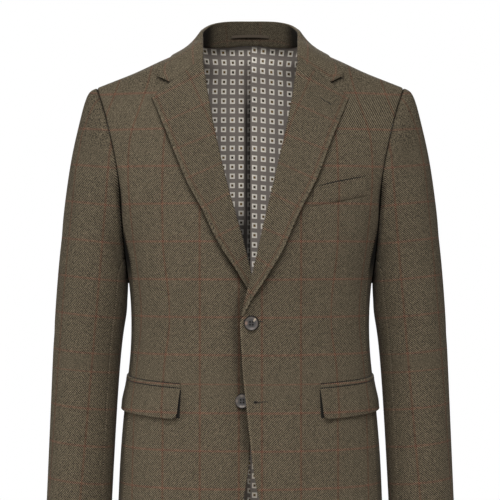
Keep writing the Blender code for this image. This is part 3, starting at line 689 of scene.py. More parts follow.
def mirror(side):
    """Factors that turn a left piece's points into the right's, when side is -1."""
    return np.array([side, 1.0, 1.0])


TORSO_CURVE = Curve(np.array(TORSO, float) * MM, np.sqrt(np.array(TORSO, float)[:, 0] * MM))
MIRRORED_SHOULDER = [(-x, z) for x, z in SHOULDER_LINE[:0:-1]] + list(SHOULDER_LINE)
SHOULDER_CURVE, ARMHOLE_CURVE, EDGE_CURVE, LAPEL_CURVE, CLOSING_CURVE = (
    Curve(np.array(rows, float) * MM)
    for rows in (MIRRORED_SHOULDER, ARMHOLE, FRONT_EDGE, LAPEL_EDGE, CLOSING))
SLEEVE_CURVE = Curve([(row[0],) + tuple(MM * v for v in row[1:]) for row in SLEEVE])
COLLAR_CURVE = Curve([(k,) + row for k, row in enumerate(COLLAR)])


def shear(drop):
    return fade(0, SHEAR_DEPTH, drop)


def torso(angle, level):
    """Torso point: angle 0 is the centre front, 90 degrees the side, 180 the centre back."""
    angle, level = arrays(angle, level)
    size = TORSO_CURVE(np.abs(level))
    drop = level**2
    side = np.sin(angle)
    ahead = np.cos(angle)
    x = np.sign(side) * size[..., 0] * np.abs(side) ** (2 / SECTION_POWER)
    depth = np.where(ahead >= 0, -size[..., 1], size[..., 2])
    y = depth * np.abs(ahead) ** (2 / SECTION_POWER)
    z = SHOULDER_CURVE(x)[..., 0] * shear(drop) - drop
    return np.stack([x, y, z], -1)


def torso_normal(angle, level):
    small = 1e-3
    level = np.maximum(level, 2 * small)
    along = torso(angle + small, level) - torso(angle - small, level)
    down = torso(angle, level + small) - torso(angle, level - small)
    return -unit(np.cross(along, down))


def lifted(angle, level, lift):
    """Torso points moved out by a lift."""
    return torso(angle, level) + torso_normal(angle, level) * np.asarray(lift)[..., None]


def angle_at(x, level):
    width = TORSO_CURVE(np.abs(level))[..., 0]
    return np.sign(x) * np.arcsin(np.clip(np.abs(x) / width, 0, 1) ** (SECTION_POWER / 2))


def level_at(x, z):
    drop = np.maximum(-np.asarray(z, float), 0)
    line = SHOULDER_CURVE(x)[..., 0]
    for _ in range(SETTLE_STEPS):
        drop = np.maximum(line * shear(drop) - z, 0)
    return np.sqrt(drop)


def closing(x, z, over):
    front = 0 if over else 1
    return CLOSING_SHARE[front] * CLOSING_CURVE(z)[..., 0] * fade(*CLOSING_FADE[front], x)


def front_point(x, z, lift, over):
    """A point on a front, at a half width and a height in the front view, moved out by lift."""
    x, z, lift = arrays(x, z, lift)
    level = level_at(x, z)
    angle = angle_at(x, level)
    return lifted(angle, level, lift + closing(x, z, over))


def surface_point(x, signed_level, lift):
    """A point by half width and signed level (front -, back +), moved out by lift."""
    x, signed_level = arrays(x, signed_level)
    level = np.abs(signed_level)
    angle = angle_at(x, level)
    angle = np.where(signed_level > 0, math.pi - angle, angle)
    return lifted(angle, level, lift)


def armhole_line(back, count=240):
    """Angle and level along one branch of the armhole, from the shoulder tip to the foot."""
    z = np.linspace(ARMHOLE[0][0] * MM, ARMHOLE_FOOT_Z * MM, count)
    x = ARMHOLE_CURVE(z)[..., 1 if back else 0]
    level = level_at(x, z)
    level[0] = 0.0
    to_foot = smooth(-ARMHOLE_TURN_Z, -ARMHOLE_FOOT_Z, -z / MM)
    angle = angle_at(lerp(x, TORSO_CURVE(level)[..., 0], to_foot**2), level)
    angle[-1] = math.pi / 2
    return (math.pi - angle if back else angle), level


FRONT_ARM = armhole_line(False)
BACK_ARM = armhole_line(True)


def fold_radius(z):
    return lerp(FOLD_FOOT, FOLD_TOP, smooth(LAPEL_FOOT_Z * MM, FOLD_FULL_Z * MM, z))


def roll_x(z, over):
    return EDGE_CURVE(z)[..., 0 if over else 1]


def arc_between(start, angle, level, steps=40):
    """Length of cloth round the torso from one angle to another at each level."""
    share = np.linspace(0, 1, steps)
    turn = lerp(start, angle[..., None], share)
    line = torso(turn, level[..., None])
    length = np.linalg.norm(np.diff(line, axis=-2), axis=-1).sum(-1)
    return np.sign(angle - start) * length


def body_down(z):
    """Cloth length down the body, with what the waist and the pocket take up."""
    take, start, end = WAIST_TAKE_UP
    return -z + take * smooth(start, end, -z) - CHECK_START[1]


def front_map(angle, level, points):
    """Cloth map of a front: across from the centre front, down from the shoulder."""
    x, z = points[..., 0], points[..., 2]
    start, deep, end = DART_DROPS
    dart = smooth(start, deep, -z) * fade(deep, end, -z) * DART_TAKE_UP
    lean = SHOULDER_LEAN * fade(0, LEAN_DROP, -z) * x / LEAN_REACH
    across = arc_between(0.0, angle, level) + lean - CHECK_START[0]
    across = across + dart * smooth(DART_X - DART_SOFT, DART_X + DART_SOFT, x)
    return np.stack([across, body_down(z)], -1)


def crease_depth(cloth_map, creases):
    """Depth of soft creases over a panel's map, each a trough or ridge with its own lean and reach."""
    depth = np.zeros(cloth_map.shape[:-1])
    for across, down, lean, reach, width, deep in creases:
        du = cloth_map[..., 0] + CHECK_START[0] - across * MM
        dv = cloth_map[..., 1] + CHECK_START[1] - down * MM
        turn = math.radians(lean)
        along = du * math.cos(turn) + dv * math.sin(turn)
        aside = dv * math.cos(turn) - du * math.sin(turn) - CREASE_BOW * along**2 / (reach * MM)
        share = np.exp(-((aside / (width * MM)) ** 2)) * np.exp(-((along / (reach * MM)) ** 4))
        depth = depth + deep * MM * share
    return depth


def spread(count):
    """Shares from 0 to 1, close together at both ends so that edges can be rounded."""
    ends = np.array(EDGE_SHARES)
    inside = np.linspace(0, 1, count)[1:-1]
    inside = inside[(inside > ends[-1] * EDGE_CLEAR) & (inside < 1 - ends[-1] * EDGE_CLEAR)]
    return np.concatenate([ends, inside, 1 - ends[::-1]])


def fold_to_edge(columns, close):
    """Shares from a fold to an outer edge, even up to the first of the close ones."""
    return np.concatenate([np.linspace(0, close[0], columns)[1:], close[1:]])


def panel_levels(last_drop):
    """Levels down the torso, close together at the shoulder and the hem."""
    shoulder = np.linspace(0, 1, SHOULDER_ROWS)[:-1] ** 2 * SHOULDER_BAND * MM
    middle = np.arange(SHOULDER_BAND * MM, last_drop - HEM_BAND * MM, ROW_STEP)
    hem = last_drop - np.array(HEM_ROWS) * MM
    levels = np.sqrt(np.concatenate([shoulder, middle, hem]))
    levels[0] = FIRST_LEVEL
    return levels


def edge_run(grid, axis, last=False):
    """Cloth length from a panel's first edge along an axis, or from its last."""
    step = np.linalg.norm(np.diff(grid, axis=axis), axis=-1)
    run = np.cumsum(np.concatenate([np.zeros_like(step.take([0], axis)), step], axis), axis)
    return run.take([-1], axis) - run if last else run


def sink_edges(grid, normals, sewn):
    """Presses sewn edges into their seams; sewn names the edge and gives its depth and width."""
    sunk = np.zeros(grid.shape[:-1])
    for edge, (depth, width) in sewn.items():
        reach = edge_run(grid, 0 if edge in ("top", "bottom") else 1, edge in ("bottom", "last"))
        sunk = np.maximum(sunk, depth * np.clip(1 - reach / width, 0, 1) ** 2)
    return grid - normals * sunk[..., None]


def under_arm(grid):
    """How far into the fold between sleeve and chest a panel's points are, low on the front."""
    drop = -grid[..., 2]
    return smooth(*ARMPIT_STARTS, drop) * fade(*ARMPIT_ENDS, drop) * (grid[..., 1] < 0)


def armpit_fold(grid, axis, reach):
    """Draws a panel's armhole edge back into the fold under the arm; a front's only above its side seam."""
    near = np.clip(1 - edge_run(grid, axis, bool(axis)) / reach, 0, 1) ** 2
    back = ARMPIT_DEPTH * under_arm(grid) * near
    if axis:
        back = back * fade(*ARMPIT_FRONT_ENDS, -grid[..., 2])
    return grid + back[..., None] * BACKWARD


def normals_of(grid):
    return unit(np.cross(np.gradient(grid, axis=0), np.gradient(grid, axis=1)))


def front_inner_x(level, over, wall):
    """Half width of a front's inner edge: the cut edge low down, the roll and the neck seam above."""
    drop = level**2
    z = -drop
    foot = LAPEL_FOOT_Z * MM
    for _ in range(SETTLE_STEPS):
        set_back = fold_radius(z) + wall / 2 + ROLL_TUCK
        x = roll_x(z, over) + set_back * smooth(foot - EDGE_FADE, foot, z)
        z = SHOULDER_CURVE(x)[..., 0] * shear(drop) - drop
    neck = lerp(NECK_HALF, NECK_HALF_LOW, smooth(0, NECK_DEPTH, drop)) + NECK_GAP
    return lerp(neck, x, smooth(NECK_DEPTH - EDGE_FADE, NECK_DEPTH + EDGE_FADE, drop))


def front_panel(over, turned_wall):
    levels = panel_levels(HEM_DROP)
    across = spread(FRONT_COLUMNS)
    inner = angle_at(front_inner_x(levels, over, turned_wall), levels) + SEAM_TURN
    arm = np.interp(levels, FRONT_ARM[1], FRONT_ARM[0])
    outer = np.where(levels < FRONT_ARM[1][-1], np.minimum(arm, FRONT_SIDE_SEAM), FRONT_SIDE_SEAM)
    angle = lerp(inner[:, None], outer[:, None] - SEAM_TURN, across)
    level = np.repeat(levels[:, None], len(across), 1)
    points = torso(angle, level)
    normals = torso_normal(angle, level)
    cloth_map = front_map(angle, level, points)
    lift = closing(points[..., 0], points[..., 2], over) - crease_depth(cloth_map, FRONT_CREASES)
    if over:
        drop = -points[..., 2]
        shown = smooth(*EDGE_ROLL_STARTS, drop) * fade(*EDGE_ROLL_ENDS, drop)
        near = np.clip(1 - edge_run(points, 1) / EDGE_ROLL_REACH, 0, 1) ** 2
        lift = lift + EDGE_ROLL * shown * near
    points = points + normals * lift[..., None]
    points = sink_edges(points, normals, {"last": SEAM_SINK, "top": SEAM_SINK})
    return armpit_fold(points, 1, ARMPIT_REACH[0]), normals, cloth_map


def line_gap(x, z, line_x, line_z):
    """Distance in the front view from points to a line of points."""
    dense = np.linspace(0, len(line_x) - 1, LINE_STEPS)
    at = np.arange(len(line_x))
    line_x, line_z = np.interp(dense, at, line_x), np.interp(dense, at, line_z)
    return np.sqrt((x[..., None] - line_x) ** 2 + (z[..., None] - line_z) ** 2).min(-1)


def front_marks(over, grid, wall):
    """Painted shade on a front beside its lapel, in the notch, under the arm, along the armhole seam and
    beside the closing, a painted highlight on the lapping edge, and its specks.
    """
    x, z = grid[..., 0], grid[..., 2]
    sheet_x, sheet_z = lapel_sheet(over, wall)[:2]
    drops, depths, reaches = np.array(LAPEL_SHADE[0 if over else 1]).T
    gap = line_gap(x, z, sheet_x[:, -1], sheet_z[:, -1])
    reach = np.interp(-z / MM, drops, reaches) * MM
    shade = np.interp(-z / MM, drops, depths) * fade(0.0, reach, gap)
    notch = np.array(NOTCH_SHADE) * MM
    gap = line_gap(x, z, notch[:, 0], notch[:, 1])
    shade = np.maximum(shade, NOTCH_DARK * fade(*NOTCH_REACH, gap))
    seam = edge_run(grid, 1, True)
    low = fade(*ARMPIT_FRONT_ENDS, -z)
    fold = ARMPIT_SHADE * under_arm(grid) * low * fade(*ARMPIT_SHADE_REACH[0], seam)
    fold = np.maximum(fold, ARMHOLE_SHADE * low * fade(*ARMHOLE_SHADE_REACH, seam))
    shade = np.maximum(shade, fold)
    shown = smooth(*CLOSING_SHADE_STARTS, -z) * fade(*EDGE_ROLL_ENDS, -z)
    if over:
        shade = shade - EDGE_HIGHLIGHT * shown * fade(*EDGE_HIGHLIGHT_REACH, edge_run(grid, 1))
    else:
        band = fade(*CLOSING_SHADE_REACH, x + roll_x(z, True))
        shade = np.maximum(shade, CLOSING_SHADE * shown * band)
    return {"shade": shade, "specks": fade(*FRONT_SPECKS, -z)}


def sleeve_marks(grid):
    """Painted shade on a sleeve in the fold under the arm and along the armhole seam, and the specks of its
    head.
    """
    seam = edge_run(grid, 0)
    fold = ARMPIT_SHADE * under_arm(grid) * fade(*ARMPIT_SHADE_REACH[1], seam)
    shade = np.maximum(fold, ARMHOLE_SHADE * fade(*ARMHOLE_SHADE_REACH, seam))
    return {"shade": shade, "specks": fade(*SLEEVE_SPECKS, -grid[..., 2])}


def lapel_marks(grid):
    """A painted highlight on a lapel's outer edge, which is in specks rather than lines."""
    edge = edge_run(grid, 1, True)
    return {"shade": -EDGE_HIGHLIGHT / 2 * fade(*EDGE_HIGHLIGHT_REACH, edge),
            "specks": fade(*LAPEL_SPECKS, edge)}


def side_marks(grid):
    """Painted shade on a side panel behind the sleeve's front."""
    return {"shade": ARMPIT_SHADE * under_arm(grid) * smooth(*SIDE_SHADE_REACH, edge_run(grid, 1))}


def back_marks(grid):
    """The specks of the back's shoulders."""
    return {"specks": fade(*FRONT_SPECKS, -grid[..., 2])}


def collar_marks(grid):
    """Painted shade on the collar stand towards its ends, and the specks of the whole collar."""
    stand = np.arange(grid.shape[1]) < STAND_COLUMNS + 2
    ends = smooth(*STAND_ENDS, np.abs(grid[..., 0])) * stand
    return {"shade": STAND_END_SHADE * ends, "specks": np.ones(grid.shape[:2]) * COLLAR_SPECKS}


def side_panel():
    across = spread(SIDE_COLUMNS)
    angle = lerp(FRONT_SIDE_SEAM + SEAM_TURN, BACK_SIDE_SEAM - SEAM_TURN, across)
    skip = len(FRONT_ARM[0]) // 3
    arm_angle = np.concatenate([FRONT_ARM[0][skip:], BACK_ARM[0][:skip:-1]])
    arm_level = np.concatenate([FRONT_ARM[1][skip:], BACK_ARM[1][:skip:-1]])
    order = np.argsort(arm_angle)
    top = np.interp(angle, arm_angle[order], arm_level[order]) + SIDE_TOP_EASE
    hem = np.sqrt(lerp(HEM_DROP, BACK_HEM_DROP, smooth(0, 1, across)))
    levels = panel_levels(HEM_DROP)
    levels = levels[levels > SIDE_TOP_LEVEL]
    share = (levels - levels[0]) / (levels[-1] - levels[0])
    share = np.concatenate([SIDE_TOP_SHARES, share[1:]])
    level = lerp(top[None, :], hem[None, :], share[:, None])
    angle = np.repeat(angle[None, :], len(level), 0)
    points = torso(angle, level)
    normals = torso_normal(angle, level)
    cloth_map = front_map(angle, level, points)
    points = sink_edges(points, normals, {"first": SEAM_SINK, "last": SEAM_SINK, "top": SEAM_SINK})
    return points, normals, cloth_map


def back_arm(level):
    arm = np.interp(level, BACK_ARM[1], BACK_ARM[0])
    return np.where(level < BACK_ARM[1][-1], np.maximum(arm, BACK_SIDE_SEAM), BACK_SIDE_SEAM)


def neck_edge(count):
    """Half width and level of the back neck edge, from the centre to the shoulder, clear of the stand."""
    place = np.linspace(0, SHOULDER_ROW, count)
    row = COLLAR_CURVE(place)
    turn = place / SHOULDER_ROW
    return row[:, 3] * MM + NECK_GAP * turn, row[:, 4] + NECK_EASE * (1 - turn**4)


def back_sheet(hem_drop, top_gap, underlap=0.0):
    """Angles and levels of a half back, from the centre to the side, and its shares across."""
    levels = panel_levels(hem_drop)
    share = (levels - levels[-1]) / (levels[0] - levels[-1])
    neck_x, neck = neck_edge(NECK_COLUMNS)
    across = angle_at(neck_x, neck) / (math.pi - back_arm(neck))
    outside = lerp(across[-1], 1, np.linspace(0, 1, BACK_COLUMNS + 1)[1:-1])
    close = 1 - np.array(EDGE_SHARES)[::-1]
    outside = np.concatenate([outside[outside < close[0] - CLOSE_CLEAR], close])
    centre = np.linspace(0, across[1], CENTRE_STEPS)[1:-1]
    neck = np.concatenate([neck[:1], np.interp(centre, across, neck), neck[1:]])
    across = np.concatenate([across[:1], centre, across[1:], outside])
    top = np.concatenate([neck, np.zeros(len(outside))])
    centre_x = np.full(len(across), SEAM_GAP / 2)
    if underlap:
        lap = np.linspace(-underlap, 0, PLEAT_STEPS)[:-1]
        across = np.concatenate([np.zeros(len(lap)), across])
        top = np.concatenate([np.full(len(lap), top[0]), top])
        centre_x = np.concatenate([lap, centre_x])
    top = np.maximum(top + top_gap, levels[0])
    level = lerp(levels[-1], top[None, :], share[:, None])
    middle = math.pi - angle_at(np.repeat(centre_x[None, :], len(level), 0), level)
    return lerp(middle, back_arm(level) + SEAM_TURN, across[None, :]), level, across


def back_panel(pitch):
    angle, level, _ = back_sheet(BACK_HEM_DROP, 0.0)
    points = torso(angle, level)
    normals = torso_normal(angle, level)
    across = -arc_between(math.pi, angle, level) - pitch / 2
    cloth_map = np.stack([across, body_down(points[..., 2])], -1)
    points = points - normals * crease_depth(cloth_map, BACK_CREASES)[..., None]
    points = sink_edges(points, normals, {"first": SEAM_SINK, "last": SEAM_SINK, "top": SEAM_SINK})
    return points, normals, cloth_map


def lining_panel(over):
    """A half of the back lining, inside the back; the wearer's left half laps over as a pleat."""
    angle, level, across = back_sheet(LINING_HEM_DROP, LINING_NECK_EASE, 0.0 if over else PLEAT_UNDERLAP)
    points = torso(angle, level)
    normals = torso_normal(angle, level)
    x = points[..., 0]
    start = LINING_SQUARE_START[0 if over else 1]
    u = lerp(x, -arc_between(math.pi, angle, level), smooth(*LINING_FLAT, np.abs(x))) - start[0]
    run = edge_run(points, 0)
    inset = lerp(LINING_INSET, LINING_SEAM_INSET, smooth(*LINING_CLOSES, across))
    inset = lerp(LINING_TOP_INSET, inset, smooth(0.0, LINING_HANG, run))
    if over:
        inset = inset + PLEAT_LIFT * fade(0.0, PLEAT_FADE, x) * smooth(0.0, LINING_HANG, run)
    else:
        deep, place, width = PLEAT_TROUGH
        inset = inset - deep * np.exp(-(((x - place) / width) ** 2)) * smooth(*PLEAT_DEEPENS, run)
    points = points - normals * inset[..., None]
    v = (start[1] - points[..., 2]) * LINING_STRETCH[0 if over else 1]
    if over:
        v = v - LINING_SLOPE * u * np.exp(-np.maximum(v, 0) / LINING_SLOPE_FADE)
    return points, normals, np.stack([u, v], -1)


def sleeve_point(along, turn):
    """Sleeve point: along 0 at the armhole, 1 at the cuff; turn 0 is the outside, 90 degrees the front."""
    along, turn = arrays(along, turn)

    def ring(at):
        size = SLEEVE_CURVE(at)
        outer = np.stack([size[..., 0], size[..., 4], size[..., 1]], -1)
        inner = np.stack([size[..., 2], size[..., 4], size[..., 3]], -1)
        across = np.sign(np.cos(turn)) * np.abs(np.cos(turn)) ** (2 / SLEEVE_POWER)
        ahead = np.sign(np.sin(turn)) * np.abs(np.sin(turn)) ** (2 / SLEEVE_POWER)
        point = (outer + inner) / 2 + (outer - inner) / 2 * across[..., None]
        point[..., 1] -= size[..., 5] * ahead
        return point

    start = ring(np.zeros_like(along))
    reach = np.clip((start[..., 2] - ARMHOLE_FOOT_Z * MM) / (ARMHOLE[0][0] - ARMHOLE_FOOT_Z) / MM, 0, 1)
    mates = []
    for angles, levels in (FRONT_ARM, BACK_ARM):
        line = torso(angles, levels)
        share = (line[:, 2] - line[-1, 2]) / (line[0, 2] - line[-1, 2])
        order = np.argsort(share)
        mates.append(np.stack([np.interp(reach, share[order], line[order, k]) for k in range(3)], -1))
    mate = np.where((np.sin(turn) >= 0)[..., None], mates[0], mates[1])
    mate[..., 0] += UNDERARM_STEP * fade(0.0, UNDERARM_SHARE, reach)
    head = fade(0, HEAD_BLEND, along)[..., None]
    return ring(along) + (mate - start) * head


def sleeve_normal(along, turn):
    small = 0.004
    low = np.maximum(along - small, 0)
    high = np.minimum(along + small, 1)
    down = sleeve_point(high, turn) - sleeve_point(low, turn)
    around = sleeve_point(along, turn + small) - sleeve_point(along, turn - small)
    return unit(np.cross(around, down))


def sleeve_middle(drop):
    """Half width of the sleeve's front middle line at a drop."""
    line_x, line_drop, slope = SLEEVE_CHECK_LINE
    return line_x + slope * (drop - line_drop)


def sleeve_across(turn, z):
    """Cloth length round the sleeve from its front middle, along a level cut at each point's height."""
    along_steps, turn_steps, drop_steps = SLEEVE_MAP_STEPS
    rows = np.linspace(0, 1, along_steps)
    turns = np.linspace(TOP_SLEEVE_SPAN[0], TOP_SLEEVE_SPAN[0] + 2 * math.pi, turn_steps)
    ring = sleeve_point(rows[:, None], turns[None, :])
    drop = np.linspace(-ring[..., 2].max(), -ring[..., 2].min(), drop_steps)
    cut = np.stack([np.stack([np.interp(drop, -ring[:, k, 2], ring[:, k, axis]) for axis in range(3)], -1)
                    for k in range(len(turns))], 1)
    length = edge_run(cut, 1)
    length = length - np.array([np.interp(0.0, turns, row) for row in length])[:, None]
    ahead = (turns >= 0) & (turns <= SLEEVE_FRONT)
    middle = sleeve_middle(drop)
    front = [np.interp(-x, -row[ahead, 0], run[ahead]) for x, row, run in zip(middle, cut, length)]
    front = np.interp(np.maximum(drop, SLEEVE_MAP_TOP), drop, front)
    across = np.array([np.interp(turn, turns, row) for row in length]) - front[:, None]
    return np.stack([np.interp(-z[:, k], drop, across[:, k]) for k in range(len(turn))], 1)


def sleeve_panel(first, last, columns):
    share = np.linspace(0, 1, SLEEVE_ROWS)
    even, close, power = SLEEVE_ROW_BLEND
    along = even * share + close * share**power
    along = np.concatenate([SLEEVE_TOP_SHARES, along[2:-1], CUFF_SHARES])[:, None]
    turn = lerp(first, last, spread(columns))[None, :]
    points = sleeve_point(along, turn)
    normals = sleeve_normal(along, turn)
    x, z = points[..., 0], points[..., 2]
    u = sleeve_across(turn[0], z)
    take, start, end = SLEEVE_TAKE_UP
    v = -z + SLEEVE_CHECK_SLOPE * (x - sleeve_middle(-z)) + take * smooth(start, end, -z) - CHECK_START[1]
    cloth_map = np.stack([u - SLEEVE_CHECK_START, v], -1)
    points = points - normals * crease_depth(cloth_map, SLEEVE_CREASES)[..., None]
    away = unit(sleeve_point(SLEEVE_PROBE, turn) - sleeve_point(0.0, turn))
    points[0] = points[0] + away[0] * ARMHOLE_GAP
    points = sink_edges(points, normals, {"top": ARMHOLE_SINK, "first": SEAM_SINK, "last": SEAM_SINK})
    return armpit_fold(points, 0, ARMPIT_REACH[1]), normals, cloth_map


def lapel_sheet(over, wall):
    """Half widths, heights, lifts and forward spring of a lapel's columns, from the roll to its edge."""
    rows = np.linspace(0, 1, LAPEL_ROWS)
    foot_z = LAPEL_FOOT_Z * MM
    roll_z = lerp(foot_z, GORGE_INNER[1] * MM, rows)
    edge_z = lerp(foot_z, LAPEL_TIP[1] * MM, rows)
    edge_x = LAPEL_CURVE(edge_z)[..., 0 if over else 1]
    radius = fold_radius(roll_z)
    start = roll_x(roll_z, over) + radius + wall / 2
    start = start + (GORGE_INNER[0] * MM - roll_x(roll_z[-1:], over)) * smooth(*LAPEL_MEETS_GORGE, rows)
    roll_z[-1] -= SEAM_GAP
    edge_z[-1] -= SEAM_GAP
    columns = [(start + ROLL_TUCK - SEAM_GAP, roll_z, np.zeros_like(rows))]
    for turn in FOLD_ANGLES:
        columns.append((start - radius * math.cos(turn), roll_z, radius * (1 + math.sin(turn))))
    spring = LAPEL_SPRING * smooth(*SPRING_STARTS, rows) * fade(*SPRING_ENDS, rows)
    for v in fold_to_edge(LAPEL_COLUMNS, LAPEL_EDGE_SHARES):
        lift = lerp(2 * radius, np.minimum(LAPEL_LIFT, 2 * radius + LAPEL_RISE), v)
        lift = lift + LAPEL_BELLY * math.sin(math.pi * v) * smooth(*BELLY_STARTS, rows)
        columns.append((lerp(start, edge_x, v), lerp(roll_z, edge_z, v), lift, spring * v**3))
    columns = [column if len(column) > 3 else column + (np.zeros_like(rows),) for column in columns]
    return [np.stack([column[k] for column in columns], 1) for k in range(4)]


def lapel_panel(over, wall):
    x, z, lift, spring = lapel_sheet(over, wall)
    points = front_point(x, z, lift, over)
    points[..., 1] -= spring
    edge = points[:, -1]
    tip_first = edge[::-1]
    run = edge_run(tip_first, 0)
    gaps = np.linalg.norm(points[:, :, None, :] - tip_first[None, None, :, :], axis=-1)
    u = gaps.min(-1) - LAPEL_CHECK_START[0]
    near = gaps.argmin(-1)
    way = unit(np.gradient(tip_first, axis=0))
    past = ((points - tip_first[near]) * way[near]).sum(-1)
    v = run[near] + past - LAPEL_CHECK_START[1]
    return points, normals_of(points), np.stack([u, v], -1)


def collar_row(place, wall):
    """One section of the collar: neck seam, stand, fold and fall; place 0 is the centre back, 1 the gorge."""
    at = place * (len(COLLAR) - 1)
    here = COLLAR_CURVE(at)
    fold = here[:3] * MM
    small = 0.02
    step = COLLAR_CURVE(min(at + small, len(COLLAR) - 1))[:3] - COLLAR_CURVE(max(at - small, 0.0))[:3]
    if at < small:
        step = SIDEWARD
    end = place >= 1
    neck = surface_point(here[3] * MM, here[4], 0.0)
    low = lerp(COLLAR_REST, COLLAR_LIFT, smooth(COLLAR_RISES_FROM, COLLAR_FRONT_PLACE, place))
    edge = surface_point(here[5] * MM, here[6], low)
    facing = unit(surface_point(here[3] * MM, here[4], 1.0) - neck)
    crest = unit(unit(fold - neck) + unit(fold - edge))
    if end:
        root_x = GORGE_INNER[0] * MM + FOLD_COLLAR + wall / 2
        root_z = GORGE_INNER[1] * MM + SEAM_GAP
        neck = front_point(root_x + ROLL_TUCK - SEAM_GAP, root_z, 0.0, True)
        middle = front_point(root_x, root_z, FOLD_COLLAR, True)
        fold = front_point(root_x - FOLD_COLLAR, root_z, FOLD_COLLAR, True)
        crest = unit(fold - middle)
        out = unit(front_point(root_x, root_z, 2 * FOLD_COLLAR, True) - middle)
    else:
        out = unit(np.cross(unit(step), crest))
        if out @ facing < 0:
            out = -out
        lip = fade(*STAND_LIP_ENDS, place)
        neck = neck - (facing * STAND_LIP + UPWARD * STAND_LAP) * lip
    middle = fold - crest * FOLD_COLLAR
    turned = [middle + FOLD_COLLAR * (crest * math.cos(a) + out * math.sin(a)) for a in FOLD_ANGLES]
    base = neck + unit(turned[0] - neck) * SEAM_GAP
    stand = [lerp(base, turned[0], q) for q in np.linspace(0, 1, STAND_COLUMNS + 1)[:-1]]
    fall = []
    for v in fold_to_edge(FALL_COLUMNS, FALL_EDGE_SHARES):
        if end:
            corners = np.array([(root_x / MM, GORGE_INNER[1]), NOTCH_CORNER, COLLAR_TIP]) * MM
            x = np.interp(v, (0, GORGE_SHARE, 1), corners[:, 0])
            z = np.interp(v, (0, GORGE_SHARE, 1), corners[:, 1])
            fall.append(front_point(x, z + SEAM_GAP, lerp(2 * FOLD_COLLAR, COLLAR_LIFT, v), True))
            continue
        chord = lerp(turned[-1], edge, v)
        x = lerp(here[3], here[5], v) * MM
        level = lerp(here[4], here[6], v)
        rest = surface_point(x, level, low)
        normal = unit(surface_point(x, level, low + PROBE_LIFT) - rest)
        chord = chord - normal * COLLAR_SAG * math.sin(math.pi * v)
        under = (chord - rest) @ normal
        fall.append(chord + normal * max(0.0, -under))
    return np.array(stand + turned + fall)


def collar_panel(wall):
    rows = [collar_row(p, wall) for p in np.linspace(0, COLLAR_FRONT_PLACE, COLLAR_ROWS)]
    last, end = rows[-1], collar_row(1.0, wall)
    rows += [lerp(last, end, t) for t in np.linspace(0, 1, COLLAR_END_ROWS + 1)[1:]]
    half = np.array(rows)
    points = np.concatenate([half[:0:-1] * mirror(-1), half])
    fold = STAND_COLUMNS + len(FOLD_ANGLES) // 2
    across = edge_run(points, 1)
    along = edge_run(points[:, fold], 0)
    u = np.repeat((along - along[-1] / 2)[:, None], points.shape[1], 1)
    cloth_map = np.stack([u - CHECK_START[0], across - across[:, fold:fold + 1] - CHECK_START[0]], -1)
    return points, normals_of(points), cloth_map


def loop_panel(wall, tape):
    """The hanger loop: a strip across the inside of the collar stand, bowed off it between its ends."""
    rows = []
    for x in np.linspace(-LOOP_LENGTH / 2, LOOP_LENGTH / 2, LOOP_COLUMNS):
        row = collar_row(abs(x) / (COLLAR[1][0] * MM) / (len(COLLAR) - 1), wall)
        foot, top = row[0], row[STAND_COLUMNS]
        away = (wall + tape) / 2 + LOOP_CLEARANCE
        away = away + LOOP_BOW * max(0.0, math.cos(math.pi * x / LOOP_LENGTH))
        strip = []
        for v in np.linspace(-0.5, 0.5, LOOP_ROWS):
            share = LOOP_SHARE + v * LOOP_HEIGHT / np.linalg.norm(top - foot)
            point = lerp(foot, top, share)
            inward = unit(np.array([-point[0], -COLLAR[0][1] * MM, 0.0]))
            point = point + inward * away
            strip.append((x, point[1], point[2]))
        rows.append(strip)
    points = np.array(rows)
    u = np.repeat(np.linspace(0, LOOP_LENGTH, LOOP_COLUMNS)[:, None], LOOP_ROWS, 1)
    v = np.repeat(np.linspace(0, LOOP_HEIGHT, LOOP_ROWS)[None, :], LOOP_COLUMNS, 0)
    return points, normals_of(points), np.stack([u, v], -1)


def welt_panel(lift):
    across = spread(WELT_COLUMNS)[None, :]
    down = np.concatenate([WELT_TOP_SHARES, np.linspace(WELT_ROWS_FROM, 1, WELT_ROWS)])[:, None]
    corners = np.array(WELT_CORNERS) * MM
    top = lerp(corners[0], corners[1], across[..., None])
    low = lerp(corners[2], corners[3], across[..., None])
    place = lerp(top, low, down[..., None])
    x, z = place[..., 0], place[..., 1]
    crown = WELT_CROWN * np.sin(math.pi * across) * (1 - down) ** 2
    points = front_point(x, z, lift + crown, True)
    level = level_at(x, z)
    cloth_map = front_map(angle_at(x, level), level, points)
    normals = normals_of(points)
    sewn = {"first": SEAM_SINK, "last": SEAM_SINK, "bottom": WELT_SINK}
    return sink_edges(points, normals, sewn), normals, cloth_map


def flap_angles(count):
    """Angles that step evenly along the cloth from the flap's front end, round to its back end."""
    level = math.sqrt(-(FLAP_TOP_Z - FLAP_DEPTH / 2) * MM)
    start = angle_at(FLAP_START_X * MM, level)
    fine = np.linspace(start, BACK_SIDE_SEAM, FLAP_FINE_STEPS)
    length = edge_run(torso(fine, level), 0)
    return np.interp(spread(count) * FLAP_LENGTH * MM, length, fine)


